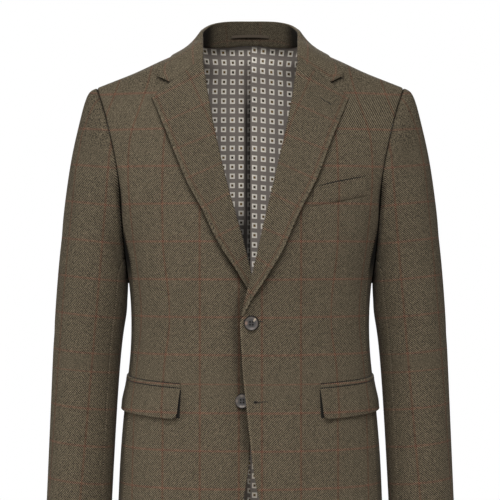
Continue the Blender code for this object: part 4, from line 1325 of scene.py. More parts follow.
def pocket_panel(top_drop, low_drop, downs, lift_top, lift_low, slant, rounding):
    """A strip along the hip pocket, between two drops below the flap's top line, with round low corners."""
    share = spread(FLAP_COLUMNS)
    angles = flap_angles(FLAP_COLUMNS)
    inset = np.minimum(share, 1 - share) * FLAP_LENGTH
    corner = rounding - np.sqrt(np.maximum(rounding**2 - np.maximum(rounding - inset, 0) ** 2, 0))
    drop = lerp(top_drop, low_drop - corner[None, :], downs[:, None])
    z = (FLAP_TOP_Z + FLAP_RISE * share[None, :] - drop) * MM
    turn = angles + slant * MM * (drop / FLAP_DEPTH) * (1 - share) ** 2 / FLAP_REACH
    level = np.sqrt(-z)
    down = downs[:, None]
    front = fade(0.0, FLAP_FRONT_SHARE, share)
    belly = down**FLAP_BELLY_POWER * (1 - FLAP_TURN_IN * smooth(*FLAP_TURN_SPAN, down))
    belly = lerp(belly, FLAP_FRONT_OFF * down**FLAP_FRONT_POWER, front)
    points = lifted(turn, level, lerp(lift_top, lift_low, belly))
    return points, torso_normal(turn, level), front_map(turn, level, torso(turn, level))


def flap_panel(lift):
    downs = spread(FLAP_ROWS)
    top = SEAM_GAP / MM
    return pocket_panel(top, FLAP_DEPTH, downs, lift, lift + FLAP_STAND_OFF, FLAP_SLANT, FLAP_ROUND)


def jetting_panel(lift):
    downs = np.linspace(0, 1, JETTING_ROWS)
    points, normals, cloth_map = pocket_panel(-JETTING_HEIGHT, 0.0, downs, lift, lift, 0.0, 0.0)
    return sink_edges(points, normals, {"top": SEAM_SINK, "first": SEAM_SINK}), normals, cloth_map


def pocket_line(drop, lift):
    """A dark strip of painted shade along the hip pocket, where two edges meet."""
    half = SEAM_LINE / 2
    return pocket_panel(drop - half, drop + half, np.linspace(0, 1, 3), lift, lift, 0.0, 0.0)


def flap_gap(lift):
    """A dark strip of painted shadow beside a flap's front edge, wider low down."""
    rows, columns = FLAP_SHADOW_STEPS
    down = np.linspace(*FLAP_SHADOW_SPAN, rows)[:, None]
    z = (FLAP_TOP_Z - down * FLAP_DEPTH) * MM
    front = flap_angles(FLAP_COLUMNS)[0] + FLAP_SLANT * MM * down / FLAP_REACH
    beyond = lerp(*FLAP_SHADOW_WIDTH, down) * MM / FLAP_REACH
    under = FLAP_SHADOW_UNDER * MM / FLAP_REACH
    turn = lerp(front - beyond, front + under, np.linspace(0, 1, columns)[None, :])
    level = np.sqrt(-np.broadcast_to(z, turn.shape))
    points = lifted(turn, level, lift)
    return points, torso_normal(turn, level), points[..., [0, 2]]


def welt_line(lift):
    """The mouth of the breast pocket: a dark strip of painted shade over the welt's top edge, widest in the
    middle.
    """
    across = spread(WELT_COLUMNS)[None, :]
    corners = np.array(WELT_CORNERS[:2]) * MM
    top = lerp(corners[0], corners[1], across[..., None])
    rise = np.sin(math.pi * across) ** 0.5 * WELT_MOUTH * np.array([[1.0], [0.5], [0.0]])
    x = np.repeat(top[..., 0], 3, 0)
    points = front_point(x, top[..., 1] + rise, lift, True)
    return points, -normals_of(points), np.stack([x, top[..., 1] + rise], -1)


def cloth_shell(name, panel, wall, materials, side=1, bulge=EDGE_BULGE, facing=None, band=None, marks=None):
    """A closed thin shell about a panel, mirrored for the wearer's right, with a rounded rim.

    The first material named is the cloth's face and rim. The second, if given, is the inside, past the
    facing, or a band of the first columns. Marks are values at the panel's points for it to read: painted
    shade, a painted highlight where negative, and specks."""
    grid, normals, cloth_map = panel
    rows, columns = grid.shape[:2]
    count = rows * columns
    index = np.arange(count).reshape(rows, columns)
    rim = np.concatenate([index[0], index[1:, -1], index[-1, -2::-1], index[-2:0:-1, 0]])
    thin = np.ones((rows, columns))
    thin[[0, -1], :] = RIM_SHARE
    thin[:, [0, -1]] = RIM_SHARE
    offset = normals * (thin * wall / 2)[..., None]
    away = np.zeros_like(grid)
    away[0] += unit(grid[0] - grid[1])
    away[-1] += unit(grid[-1] - grid[-2])
    away[:, 0] += unit(grid[:, 0] - grid[:, 1])
    away[:, -1] += unit(grid[:, -1] - grid[:, -2])
    middle = (grid + unit(away) * wall * bulge).reshape(-1, 3)[rim]
    points = np.concatenate([(grid + offset).reshape(-1, 3), (grid - offset).reshape(-1, 3), middle])
    points = points * mirror(side)
    flat = cloth_map.reshape(-1, 2) * np.array([side, 1.0])
    flat = np.concatenate([flat, flat, flat[rim]])
    a, b = index[:-1, :-1].ravel(), index[:-1, 1:].ravel()
    c, d = index[1:, 1:].ravel(), index[1:, :-1].ravel()
    face = np.stack([a, b, c, d], 1)
    inside = np.stack([a, d, c, b], 1) + count
    ring = np.arange(len(rim)) + 2 * count
    after = np.roll(rim, -1)
    ring_after = np.roll(ring, -1)
    outer_rim = np.stack([after, rim, ring, ring_after], 1)
    inner_rim = np.stack([ring_after, ring, rim + count, after + count], 1)
    faces = np.concatenate([face, inside, outer_rim, inner_rim])
    finish = np.zeros(len(faces), int)
    if band:
        first = np.arange(columns - 1)[None, :] < np.full((rows - 1, 1), band)
        finish[:2 * len(face)] = np.tile(first.ravel(), 2)
    elif len(materials) > 1:
        lined = edge_run(grid, 1)[:-1, :-1].ravel() > facing if facing else np.ones(len(face), bool)
        finish[len(face):2 * len(face)] = lined
    mesh = mesh_from(name, points, faces.tolist())
    # Marks such as the painted shade go on as point attributes
    for mark, values in (marks or {}).items():
        values = values.ravel()
        values = np.concatenate([values, values, values[rim]])
        mesh.attributes.new(mark, "FLOAT", "POINT").data.foreach_set("value", values)
    return place_mesh(name, mesh, flat, [material(label) for label in materials], finish)


def place_mesh(name, mesh, flat, materials, finish=None):
    """Links a mesh with its cloth map and materials, shaded smooth, riding on the one body."""
    corners = np.empty(len(mesh.loops), int)
    mesh.loops.foreach_get("vertex_index", corners)
    layer = mesh.uv_layers.new(name="cloth")
    layer.data.foreach_set("uv", np.asarray(flat, float)[corners].ravel())
    for finish_material in materials:
        mesh.materials.append(finish_material)
    if finish is not None:
        mesh.polygons.foreach_set("material_index", finish)
    mesh.shade_smooth()
    made = bpy.data.objects.new(name, mesh)
    bpy.context.scene.collection.objects.link(made)
    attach(made, "root")
    return made


def cut_piece(piece, tag, panel, wall, materials, rests_on, slot="suiting", side=1, held="hung", **finish):
    """A sewn piece of cloth: its shell with its finish, and the solid that it stands for, hidden."""
    made = cloth_shell(piece + "_cloth" + tag, panel, wall, materials, side, **finish)
    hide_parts(piece + tag)


def painted_shadow_strip(name, panel, side=1):
    """A thin dark strip of painted shade where two edges of the cloth meet."""
    made = cloth_shell(name, panel, SEAM_LINE_WALL, ("slit_dark",), side)


def tube(path, radius, sides):
    """Points and faces of a closed tube along a path of points."""
    path = np.array(path, float)
    way = unit(np.gradient(path, axis=0))
    up = np.where(np.abs(way[:, 1:2]) < STEEP, BACKWARD, SIDEWARD)
    one = unit(np.cross(way, up))
    two = np.cross(way, one)
    radius = np.broadcast_to(np.asarray(radius, float), (len(path),))
    points, faces = [], []
    for k in range(sides):
        turn = 2 * math.pi * k / sides
        points.append(path + (one * math.cos(turn) + two * math.sin(turn)) * radius[:, None])
    points = np.stack(points, 1).reshape(-1, 3)
    for i in range(len(path) - 1):
        for k in range(sides):
            n = (k + 1) % sides
            faces.append((i * sides + k, i * sides + n, (i + 1) * sides + n, (i + 1) * sides + k))
    last = (len(path) - 1) * sides
    faces.append(tuple(range(sides)))
    faces.append(tuple(last + k for k in reversed(range(sides))))
    return points, faces


def armhole_seam(tag, side):
    """A dark line of painted shadow in the front armhole seam, from the shoulder into the fold under the arm.
    """
    angle, level = (line[ARMHOLE_SHADOW_SKIP:] for line in FRONT_ARM)
    path = lifted(angle, level, ARMHOLE_SHADOW_LIFT)
    deep = smooth(*ARMPIT_STARTS, -path[:, 2])
    path = path + deep[:, None] * BACKWARD * ARMPIT_FILL_BACK
    radius = lerp(*ARMHOLE_SHADOW_RADIUS, deep)
    points, faces = tube(path * mirror(side), radius, ARMHOLE_SHADOW_SIDES)
    name = "armhole_seam" + tag
    made = place_mesh(name, mesh_from(name, points, faces), points[:, [0, 2]], [material("fold_dark")])


def joined(parts):
    """One list of points and faces from several."""
    points, faces, base = [], [], 0
    for part_points, part_faces in parts:
        points.append(part_points)
        faces += [tuple(int(k) + base for k in face) for face in part_faces]
        base += len(part_points)
    return np.concatenate(points), faces


def mesh_from(name, points, faces):
    """A mesh of points and faces, with its faces turned outward."""
    mesh = bpy.data.meshes.new(name)
    mesh.from_pydata([tuple(p) for p in points], [], faces)
    built = bmesh.new()
    built.from_mesh(mesh)
    bmesh.ops.recalc_face_normals(built, faces=built.faces)
    built.to_mesh(mesh)
    built.free()
    return mesh


def buttonhole(row, surface):
    """A worked buttonhole: a thread rim round a dark slit of painted shade, with a round eye at its first
    end.

    surface gives the cloth's point at a half width, a height and a lift."""
    name = "buttonhole_" + row[0]
    start, end = np.array(row[1:3]) * MM, np.array(row[3:5]) * MM
    half, eyelet = row[5] * MM, row[6] * MM
    way = unit(end - start)
    aside = np.array([-way[1], way[0]])
    length = np.linalg.norm(end - start)
    run = np.linspace(0, 1, BUTTONHOLE_STEPS)
    swell = eyelet * np.exp(-((run * length / (EYE_REACH * eyelet)) ** 2)) if eyelet else 0 * run
    width = half + swell
    cap = np.linspace(math.pi / 2, 3 * math.pi / 2, BUTTONHOLE_CAP_STEPS)[1:-1]
    near = [start + way * math.cos(a) * width[0] + aside * math.sin(a) * width[0] for a in cap]
    far = [end - way * math.cos(a) * half - aside * math.sin(a) * half for a in cap]
    upper = [start + way * t * length + aside * w for t, w in zip(run, width)]
    lower = [start + way * t * length - aside * w for t, w in zip(run[::-1], width[::-1])]
    ring = np.array(upper[::-1] + near + lower + far)
    slit = surface(ring[:, 0], ring[:, 1], SLIT_LIFT)
    ring = np.concatenate([ring, ring[:1]])
    dense = np.linspace(0, len(ring) - 1, STITCH_STEPS * len(ring))
    ring = np.stack([np.interp(dense, np.arange(len(ring)), ring[:, k]) for k in range(2)], 1)
    beat = 0.5 + 0.5 * np.sin(np.arange(len(ring)) * STITCH_BEAT)
    radius = (STITCH_RADIUS[0] + STITCH_RADIUS[1] * beat) * MM
    rim = tube(surface(ring[:, 0], ring[:, 1], STITCH_LIFT), radius, STITCH_SIDES)
    points, faces = joined([rim, (slit, [tuple(range(len(slit)))])])
    mesh = mesh_from(name, points, faces)
    finish = np.zeros(len(faces), int)
    finish[len(rim[1]):] = 1
    materials = [material("sewing_thread"), material("slit_dark")]
    made = place_mesh(name, mesh, points[:, [0, 2]], materials, finish)


def lathe(name, profile, segments):
    """A closed turned mesh about +Z from (radius, height) rows that start and end on the axis."""
    points = [(0.0, 0.0, profile[0][1])]
    for radius, height in profile[1:-1]:
        for k in range(segments):
            turn = 2 * math.pi * k / segments
            points.append((radius * math.cos(turn), radius * math.sin(turn), height))
    points.append((0.0, 0.0, profile[-1][1]))
    rings = len(profile) - 2
    last = len(points) - 1
    faces = []
    for k in range(segments):
        n = (k + 1) % segments
        faces.append((0, 1 + n, 1 + k))
        for r in range(rings - 1):
            a = 1 + r * segments
            faces.append((a + k, a + n, a + segments + n, a + segments + k))
        a = 1 + (rings - 1) * segments
        faces.append((a + k, a + n, last))
    mesh = bpy.data.meshes.new(name)
    mesh.from_pydata(points, [], faces)
    return mesh


def axes_matrix(columns):
    """A matrix from three axes and a place."""
    made = np.eye(4)
    made[:3] = np.stack(columns, 1)
    return Matrix(made.tolist())


def seat_matrix(place, over, side, lift):
    """Axes of a button on a front: its own +Z is the cloth's outward direction."""
    x, z = place[0] * MM, place[1] * MM
    here = front_point(x, z, lift, over)
    out = unit(front_point(x, z, lift + PROBE_LIFT, over) - here)
    up = unit(UPWARD - out * out[2])
    right = np.cross(up, out)
    return axes_matrix([axis * mirror(side) for axis in (right * side, up, out, here)])


def horn_button(tag, place, over, side, wall):
    """A four-hole button with a raised rim, the thread that sews it on and a dark disc under it, a painted
    shadow.
    """
    name = "button_horn_" + tag
    profile = [(radius * MM, height * MM) for radius, height in BUTTON_PROFILE]
    turned = bpy.data.objects.new(name + "_turned", lathe(name + "_turned", profile, BUTTON_SEGMENTS))
    cutters = bmesh.new()
    for hole_place in BUTTON_HOLE_PLACES:
        hole = bmesh.ops.create_cone(cutters, cap_ends=True, segments=BUTTON_HOLE_SEGMENTS,
                                     radius1=BUTTON_HOLE_RADIUS, radius2=BUTTON_HOLE_RADIUS,
                                     depth=BUTTON_CUT_DEPTH)
        bmesh.ops.translate(cutters, verts=hole["verts"], vec=(*hole_place, 0))
    cutter_mesh = bpy.data.meshes.new(name + "_holes")
    cutters.to_mesh(cutter_mesh)
    cutters.free()
    cutter = bpy.data.objects.new(name + "_holes", cutter_mesh)
    for thing in (turned, cutter):
        bpy.context.scene.collection.objects.link(thing)
    cut = turned.modifiers.new("holes", "BOOLEAN")
    cut.operation = "DIFFERENCE"
    cut.solver = "EXACT"
    cut.object = cutter
    shaped = turned.evaluated_get(bpy.context.evaluated_depsgraph_get())
    mesh = bpy.data.meshes.new_from_object(shaped)
    for thing in (turned, cutter):
        bpy.data.objects.remove(thing, do_unlink=True)
    seat = seat_matrix(place, over, side, wall / 2 + BUTTON_SEAT)
    flat = np.array([(v.co.x, v.co.y) for v in mesh.vertices])
    mesh.transform(seat)
    made = place_mesh(name, mesh, flat, [horn_material(tag)])
    mesh.set_sharp_from_angle(angle=BUTTON_SHARP)
    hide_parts("button_" + tag)
    strands = [tube([(*hole_place, height) for height in THREAD_HEIGHTS], THREAD_RADIUS, THREAD_SIDES)
               for hole_place in BUTTON_HOLE_PLACES]
    # The shank, and a dark disc under the button as painted shadow
    for heights, radius in ((SHANK_HEIGHTS, SHANK_RADIUS), (BUTTON_SHADOW_HEIGHTS, BUTTON_SHADOW_RADIUS)):
        strands.append(tube([(0.0, 0.0, height) for height in heights], radius, SHANK_SIDES))
    points, faces = joined(strands)
    sewing = mesh_from(name + "_thread", points, faces)
    sewing.transform(seat)
    thread = place_mesh(name + "_thread", sewing, points[:, :2], [material("slit_dark")])


def settings():
    return bpy.context.scene.blazer_sizes, bpy.context.scene.blazer_colours


def node(tree, kind, inputs=None, **options):
    """Adds a shader node; inputs maps a socket to a value or to another node's output."""
    made = tree.nodes.new(kind)
    for key, value in options.items():
        setattr(made, key, value)
    for socket, source in (inputs or {}).items():
        if isinstance(source, bpy.types.NodeSocket):
            tree.links.new(source, made.inputs[socket])
        else:
            made.inputs[socket].default_value = source
    return made


def maths(tree, operation, *values):
    return node(tree, "ShaderNodeMath", dict(enumerate(values)), operation=operation).outputs[0]


def vectors(tree, operation, inputs, out=0):
    return node(tree, "ShaderNodeVectorMath", inputs, operation=operation).outputs[out]


def noise(tree, place, scale, detail, **more):
    return node(tree, "ShaderNodeTexNoise", {"Vector": place, "Scale": scale, "Detail": detail, **more})


def split_map(tree, place):
    return node(tree, "ShaderNodeSeparateXYZ", {0: place}).outputs


def blend(tree, factor, one, two, mode="MIX"):
    """Colour mix of two sources by a factor."""
    made = node(tree, "ShaderNodeMix", {0: factor, 6: one, 7: two}, data_type="RGBA", blend_type=mode)
    return made.outputs[2]


def multiplied(tree, colour, factor):
    grey = node(tree, "ShaderNodeCombineColor", {0: factor, 1: factor, 2: factor}).outputs[0]
    return blend(tree, 1.0, colour, grey, "MULTIPLY")


def rgba(colour, share=1.0):
    return (*(share * c for c in colour), 1.0)


def ramp_mask(tree, value, low, high):
    """1 below low, 0 above high, with a soft step between."""
    kind = {"interpolation_type": "SMOOTHSTEP"}
    inputs = {0: value, 1: low, 2: high, 3: 1.0, 4: 0.0}
    return node(tree, "ShaderNodeMapRange", inputs, **kind).outputs[0]


def rest_of(tree, share):
    """What a share leaves of 1."""
    return maths(tree, "SUBTRACT", 1.0, share)


def swing(tree, value, amount):
    """How far a value from 0 to 1 is from its middle, times an amount."""
    return maths(tree, "MULTIPLY", maths(tree, "SUBTRACT", value, 0.5), amount)


def scaled(tree, value, factor, start):
    """A value times a factor, from a start."""
    return maths(tree, "ADD", maths(tree, "MULTIPLY", value, factor), start)


def new_group(name, inputs, outputs):
    """A shader node group with named sockets; returns its tree, its input sockets and its output node."""
    tree = bpy.data.node_groups.new(name, "ShaderNodeTree")
    for label, kind, default in inputs:
        socket = tree.interface.new_socket(name=label, in_out="INPUT", socket_type=kind)
        if default is not None:
            socket.default_value = default
    for label, kind in outputs:
        tree.interface.new_socket(name=label, in_out="OUTPUT", socket_type=kind)
    return tree, tree.nodes.new("NodeGroupInput").outputs, tree.nodes.new("NodeGroupOutput")


FLOAT, COLOUR, VECTOR = "NodeSocketFloat", "NodeSocketColor", "NodeSocketVector"
YARN_SOCKETS = [("Light yarn", COLOUR, (0.2, 0.17, 0.12, 1)), ("Dark yarn", COLOUR, (0.05, 0.04, 0.03, 1))]


def twill_group(name):
    """Two-up two-down twill of light warp and dark weft, with uneven yarns."""
    tree, given, made = new_group(
        name,
        [("Map", VECTOR, None), ("Yarn pitch", FLOAT, 0.00074), *YARN_SOCKETS,
         ("Unevenness", FLOAT, 0.3), ("Wander", FLOAT, 0.0003)],
        [("Colour", COLOUR), ("Height", FLOAT), ("Tone", FLOAT)])
    drift = noise(tree, given["Map"], *WANDER_NOISE).outputs["Color"]
    drift = vectors(tree, "SUBTRACT", {0: drift, 1: (0.5, 0.5, 0.5)})
    drift = vectors(tree, "SCALE", {0: drift, "Scale": given["Wander"]})
    split = split_map(tree, vectors(tree, "ADD", {0: given["Map"], 1: drift}))
    warp_at, weft_at = (maths(tree, "DIVIDE", split[axis], given["Yarn pitch"]) for axis in (0, 1))
    warp_yarn, weft_yarn = (maths(tree, "FLOOR", at) for at in (warp_at, weft_at))
    both = maths(tree, "ADD", warp_yarn, weft_yarn)
    warp_up = maths(tree, "LESS_THAN", maths(tree, "FLOORED_MODULO", both, TWILL_REPEAT), TWILL_UP)
    run = maths(tree, "FLOOR", maths(tree, "DIVIDE", both, TWILL_REPEAT))
    yarn = node(tree, "ShaderNodeMix", {0: warp_up, 2: weft_yarn, 3: warp_yarn}).outputs[0]
    place = node(tree, "ShaderNodeCombineXYZ", {0: yarn, 1: run, 2: warp_up}).outputs[0]
    float_tone = node(tree, "ShaderNodeTexWhiteNoise", {"Vector": place}, noise_dimensions="3D").outputs[0]
    slub_map = vectors(tree, "MULTIPLY", {0: given["Map"], 1: SLUB_SCALE})
    slub = noise(tree, slub_map, *SLUB_NOISE).outputs[0]
    uneven = maths(tree, "ADD", swing(tree, float_tone, YARN_SHARE), swing(tree, slub, SLUB_SHARE))
    tone = maths(tree, "ADD", warp_up, maths(tree, "MULTIPLY", uneven, given["Unevenness"]))
    low, high = TWILL_TONES
    tone = node(tree, "ShaderNodeClamp", {0: tone, 1: low, 2: high}).outputs[0]
    colour = node(tree, "ShaderNodeMix", {0: tone, 6: given["Dark yarn"], 7: given["Light yarn"]},
                  data_type="RGBA", clamp_factor=False).outputs[2]
    round_warp, round_weft = (maths(tree, "PINGPONG", at, 0.5) for at in (warp_at, weft_at))
    height = node(tree, "ShaderNodeMix", {0: warp_up, 2: round_weft, 3: round_warp}).outputs[0]
    for label, source in (("Colour", colour), ("Height", height), ("Tone", slub)):
        tree.links.new(source, made.inputs[label])
    return tree


def check_group(name):
    """Masks of a thin window check: lines at every multiple of the pitches."""
    tree, given, made = new_group(
        name,
        [("Map", VECTOR, None), ("Pitch across", FLOAT, 0.0555), ("Pitch down", FLOAT, 0.0538),
         ("Half width", FLOAT, 0.0018)],
        [("Upright", FLOAT), ("Level", FLOAT)])
    split = split_map(tree, given["Map"])
    core = maths(tree, "MULTIPLY", given["Half width"], CHECK_CORE)
    for axis, (pitch, line) in enumerate((("Pitch across", "Upright"), ("Pitch down", "Level"))):
        gap = maths(tree, "PINGPONG", split[axis], maths(tree, "MULTIPLY", given[pitch], 0.5))
        tree.links.new(ramp_mask(tree, gap, core, given["Half width"]), made.inputs[line])
    return tree


def drift_group(name):
    """Slow unevenness of colour over a cloth, as dyeing, pressing and wear leave it."""
    tree, given, made = new_group(name, [("Map", VECTOR, None), ("Amount", FLOAT, 0.1)], [("Factor", FLOAT)])
    slow, fine = (noise(tree, given["Map"], *size).outputs[0] for size in DRIFT_NOISES)
    both = maths(tree, "ADD", slow, maths(tree, "MULTIPLY", fine, DRIFT_FINE_SHARE))
    shift = scaled(tree, maths(tree, "SUBTRACT", both, DRIFT_MIDDLE), given["Amount"], 1.0)
    tree.links.new(shift, made.inputs["Factor"])
    return tree


def specks_group(name):
    """Light and dark specks in no order, for cloth where the yarns' lines run together."""
    tree, given, made = new_group(name, YARN_SOCKETS, [("Colour", COLOUR)])
    place = node(tree, "ShaderNodeTexCoord").outputs["Object"]
    grain = noise(tree, place, *SPECK_NOISE).outputs[0]
    tone = maths(tree, "ADD", swing(tree, grain, SPECK_CONTRAST), 0.5)
    tone = node(tree, "ShaderNodeClamp", {0: tone}).outputs[0]
    tree.links.new(blend(tree, tone, given["Dark yarn"], given["Light yarn"]), made.inputs["Colour"])
    return tree


NODE_GROUPS = {"Twill weave": twill_group, "Window check": check_group, "Cloth drift": drift_group,
               "Cloth specks": specks_group}


def placed(tree, name, inputs):
    """Outputs of a node of the group of that name, which is made once."""
    group = bpy.data.node_groups.get(name) or NODE_GROUPS[name](name)
    return node(tree, "ShaderNodeGroup", inputs, node_tree=group).outputs


def blank_material(name, rough, sheen, specular):
    """A material with its Principled shader, and the cloth map's output."""
    made = bpy.data.materials.new(name)
    made.use_nodes = True
    tree = made.node_tree
    shader = tree.nodes["Principled BSDF"]
    for label, value in (("Roughness", rough), ("Sheen Weight", sheen), ("Sheen Roughness", SHEEN_ROUGHNESS),
                         ("Specular IOR Level", specular)):
        shader.inputs[label].default_value = value
    return made, tree, shader, node(tree, "ShaderNodeUVMap", uv_map="cloth").outputs[0]


def dress(tree, shader, colour, height, bump, rough=None):
    """Gives a shader its colour, its bump from a height, and its roughness."""
    strength, distance = bump
    raised = node(tree, "ShaderNodeBump", {"Strength": strength, "Distance": distance, "Height": height})
    tree.links.new(colour, shader.inputs["Base Color"])
    tree.links.new(raised.outputs[0], shader.inputs["Normal"])
    if rough is not None:
        tree.links.new(rough, shader.inputs["Roughness"])


def attribute(tree, name):
    return node(tree, "ShaderNodeAttribute", attribute_name=name).outputs["Fac"]


def suiting_material(name, pitch, tint, turn, uneven, wander, rust_share):
    """The suiting: twill with the rust window check over it.

    tint sets how dark or light this copy of the suiting is, as painted light and shade, turn is the yarns'
    lean in the map, uneven and wander are how much the yarns differ in tone and stray from their lines, and
    rust_share is how much of the check shows."""
    sizes, colours = settings()
    made, tree, shader, cloth_map = blank_material(name, *SUITING_FINISH)
    yarns = {"Light yarn": rgba(colours.light_yarn, tint), "Dark yarn": rgba(colours.dark_yarn, tint)}
    yarn_map = node(tree, "ShaderNodeVectorRotate", {"Vector": cloth_map, "Angle": turn},
                    rotation_type="Z_AXIS").outputs[0]
    twill = placed(tree, "Twill weave", {"Map": yarn_map, "Yarn pitch": sizes.yarn_pitch, **yarns,
                                         "Unevenness": uneven, "Wander": wander})
    check = placed(tree, "Window check", {"Map": cloth_map, "Pitch across": sizes.check_across,
                                          "Pitch down": getattr(sizes, pitch),
                                          "Half width": sizes.check_half_width})
    drift = placed(tree, "Cloth drift", {"Map": cloth_map, "Amount": SUITING_DRIFT})
    specks = placed(tree, "Cloth specks", yarns)
    colour = blend(tree, attribute(tree, "specks"), twill["Colour"], specks[0])
    for line, tint_of_line in (("Level", colours.rust_level), ("Upright", colours.rust_upright)):
        strength = maths(tree, "MULTIPLY", check[line], rust_share)
        colour = blend(tree, strength, colour, rgba(tint_of_line), "MULTIPLY")
    # The shade attribute darkens the colour as painted shade, and lightens it where negative as a painted
    # highlight
    left = maths(tree, "MULTIPLY", drift[0], rest_of(tree, attribute(tree, "shade")))
    dress(tree, shader, multiplied(tree, colour, left), twill["Height"], SUITING_BUMP,
          scaled(tree, twill["Tone"], *SUITING_ROUGH))
    return made


def yarn_colours(colour, light, dark):
    """Two shades of one colour for the yarns of a small weave."""
    return {"Light yarn": rgba(colour, light), "Dark yarn": rgba(colour, dark)}


def satin_base(tree, cloth_map):
    """Satin ground: fine crosswise threads and a slow drift; returns its colour and height."""
    yarns = yarn_colours(settings()[1].lining_ground, *LINING_YARN_SHARES)
    threads = placed(tree, "Twill weave", {"Map": cloth_map, "Yarn pitch": LINING_YARN_PITCH, **yarns,
                                           "Unevenness": LINING_UNEVENNESS})
    drift = placed(tree, "Cloth drift", {"Map": cloth_map, "Amount": LINING_DRIFT})
    return multiplied(tree, threads["Colour"], drift[0]), threads["Height"]


def plain_lining(name):
    made, tree, shader, cloth_map = blank_material(name, *PLAIN_LINING_FINISH)
    dress(tree, shader, *satin_base(tree, cloth_map), LINING_BUMP)
    return made


def fold_shade(tree, cloth_map):
    """Painted shade on the under half of the lining: along the pleat's fold, and all over low down."""
    across, down = split_map(tree, cloth_map)[:2]
    fold = ramp_mask(tree, maths(tree, "MULTIPLY", across, -1.0), *SHADE_ASIDE)
    starts, low = (rest_of(tree, ramp_mask(tree, down, *span)) for span in (SHADE_STARTS, SHADE_LOW))
    shade = maths(tree, "MAXIMUM", maths(tree, "MULTIPLY", fold, starts), low)
    shade = maths(tree, "MULTIPLY", shade, ramp_mask(tree, down, *SHADE_ENDS))
    return rest_of(tree, maths(tree, "MULTIPLY", shade, SHADE_DEPTH))


def square_lining(name, over):
    """Taupe satin with rows of small squares, each a cream frame round a darker middle."""
    sizes, colours = settings()
    made, tree, shader, cloth_map = blank_material(name, *SQUARE_LINING_FINISH)
    ground, height = satin_base(tree, cloth_map)
    split = split_map(tree, cloth_map)
    gaps, cells = [], []
    for axis, pitch in ((0, sizes.square_across), (1, sizes.square_down)):
        gaps.append(maths(tree, "PINGPONG", split[axis], pitch / 2))
        cells.append(maths(tree, "ROUND", maths(tree, "DIVIDE", split[axis], pitch)))
    fray = swing(tree, noise(tree, cloth_map, *SQUARE_FRAY_NOISE).outputs[0], SQUARE_FRAY)
    reach = maths(tree, "ADD", maths(tree, "MAXIMUM", *gaps), fray)
    outer, inner = (ramp_mask(tree, reach, half - SQUARE_SOFT, half + SQUARE_SOFT)
                    for half in (sizes.square_half, sizes.square_middle))
    cell = node(tree, "ShaderNodeCombineXYZ", {0: cells[0], 1: cells[1]}).outputs[0]
    chance = node(tree, "ShaderNodeTexWhiteNoise", {"Vector": cell}, noise_dimensions="2D").outputs[0]
    middle = blend(tree, chance, rgba(colours.square_dark), rgba(colours.square_ochre))
    colour = blend(tree, outer, ground, rgba(colours.square_frame))
    colour = blend(tree, inner, colour, middle)
    # The under half gets painted shade by the pleat and low down
    if not over:
        colour = multiplied(tree, colour, fold_shade(tree, cloth_map))
    dress(tree, shader, colour, height, LINING_BUMP)
    return made


def horn_material(tag):
    """Mottled horn: a dark middle, a paler streaky rim and a soft polish; the upper button's palest patches
    are a painted glint, and the dark flank and holes are painted shade.
    """
    colours = settings()[1]
    made, tree, shader, face = blank_material("horn_" + tag, *HORN_FINISH)
    for label, value in zip(("Coat Weight", "Coat Roughness"), HORN_COAT):
        shader.inputs[label].default_value = value
    reach = vectors(tree, "LENGTH", {0: face}, "Value")
    warp = noise(tree, face, *HORN_WARP_NOISE).outputs[0]
    streak_map = vectors(tree, "MULTIPLY", {0: face, 1: HORN_STREAK_SCALE})
    streak = noise(tree, streak_map, *HORN_STREAK_NOISE, Distortion=HORN_STREAK_BEND).outputs[0]
    edge = maths(tree, "ADD", reach, swing(tree, warp, HORN_RIM_STRAY))
    rim = rest_of(tree, ramp_mask(tree, edge, *HORN_RIM))
    body = blend(tree, streak, rgba(colours.horn_dark), rgba(colours.horn_mid))
    colour = blend(tree, rim, body, blend(tree, streak, rgba(colours.horn_mid), rgba(colours.horn_grey)))
    # Patches of horn colour; the upper button's palest ones are a painted glint
    for place, near, far, shade in HORN_PATCHES[tag]:
        gap = vectors(tree, "DISTANCE", {0: face, 1: (place[0] * MM, place[1] * MM, 0.0)}, "Value")
        gap = maths(tree, "ADD", gap, swing(tree, warp, HORN_PATCH_STRAY))
        patch = ramp_mask(tree, gap, near * MM, far * MM)
        colour = blend(tree, patch, colour, rgba(getattr(colours, shade)))
    # Painted shade on the flank and round the holes
    shaded_flank = rest_of(tree, ramp_mask(tree, reach, *HORN_SHADED_FLANK))
    mirrored = vectors(tree, "ABSOLUTE", {0: face})
    hole = vectors(tree, "DISTANCE", {0: mirrored, 1: (BUTTON_HOLE_PITCH, BUTTON_HOLE_PITCH, 0.0)}, "Value")
    dark = maths(tree, "MAXIMUM", shaded_flank, ramp_mask(tree, hole, *HORN_HOLE_SHADE))
    colour = blend(tree, dark, colour, rgba(colours.horn_flank))
    dress(tree, shader, colour, streak, HORN_BUMP, scaled(tree, streak, *HORN_ROUGH))
    return made


def yarn_material(name, colour, light, dark, pitch, *finish):
    """A plain small weave or thread in two close shades."""
    made, tree, shader, cloth_map = blank_material(name, *finish)
    yarns = yarn_colours(getattr(settings()[1], colour), light, dark)
    yarn = placed(tree, "Twill weave", {"Map": cloth_map, "Yarn pitch": pitch, **yarns,
                                        "Unevenness": YARN_UNEVENNESS})
    dress(tree, shader, yarn["Colour"], yarn["Height"], YARN_BUMP)
    return made


def material(name):
    """A material of the cloth, the lining or the thread by its name, made once."""
    if name in bpy.data.materials:
        return bpy.data.materials[name]
    if name in SUITINGS:
        return suiting_material(name, *SUITINGS[name])
    if name in YARNS:
        return yarn_material(name, *YARNS[name])
    if name == "lining_plain":
        return plain_lining(name)
    return square_lining(name, name == "lining_squares_over")


def length_property(name, description, default):
    return FloatProperty(name=name, description=description, default=default, unit="LENGTH", precision=5)


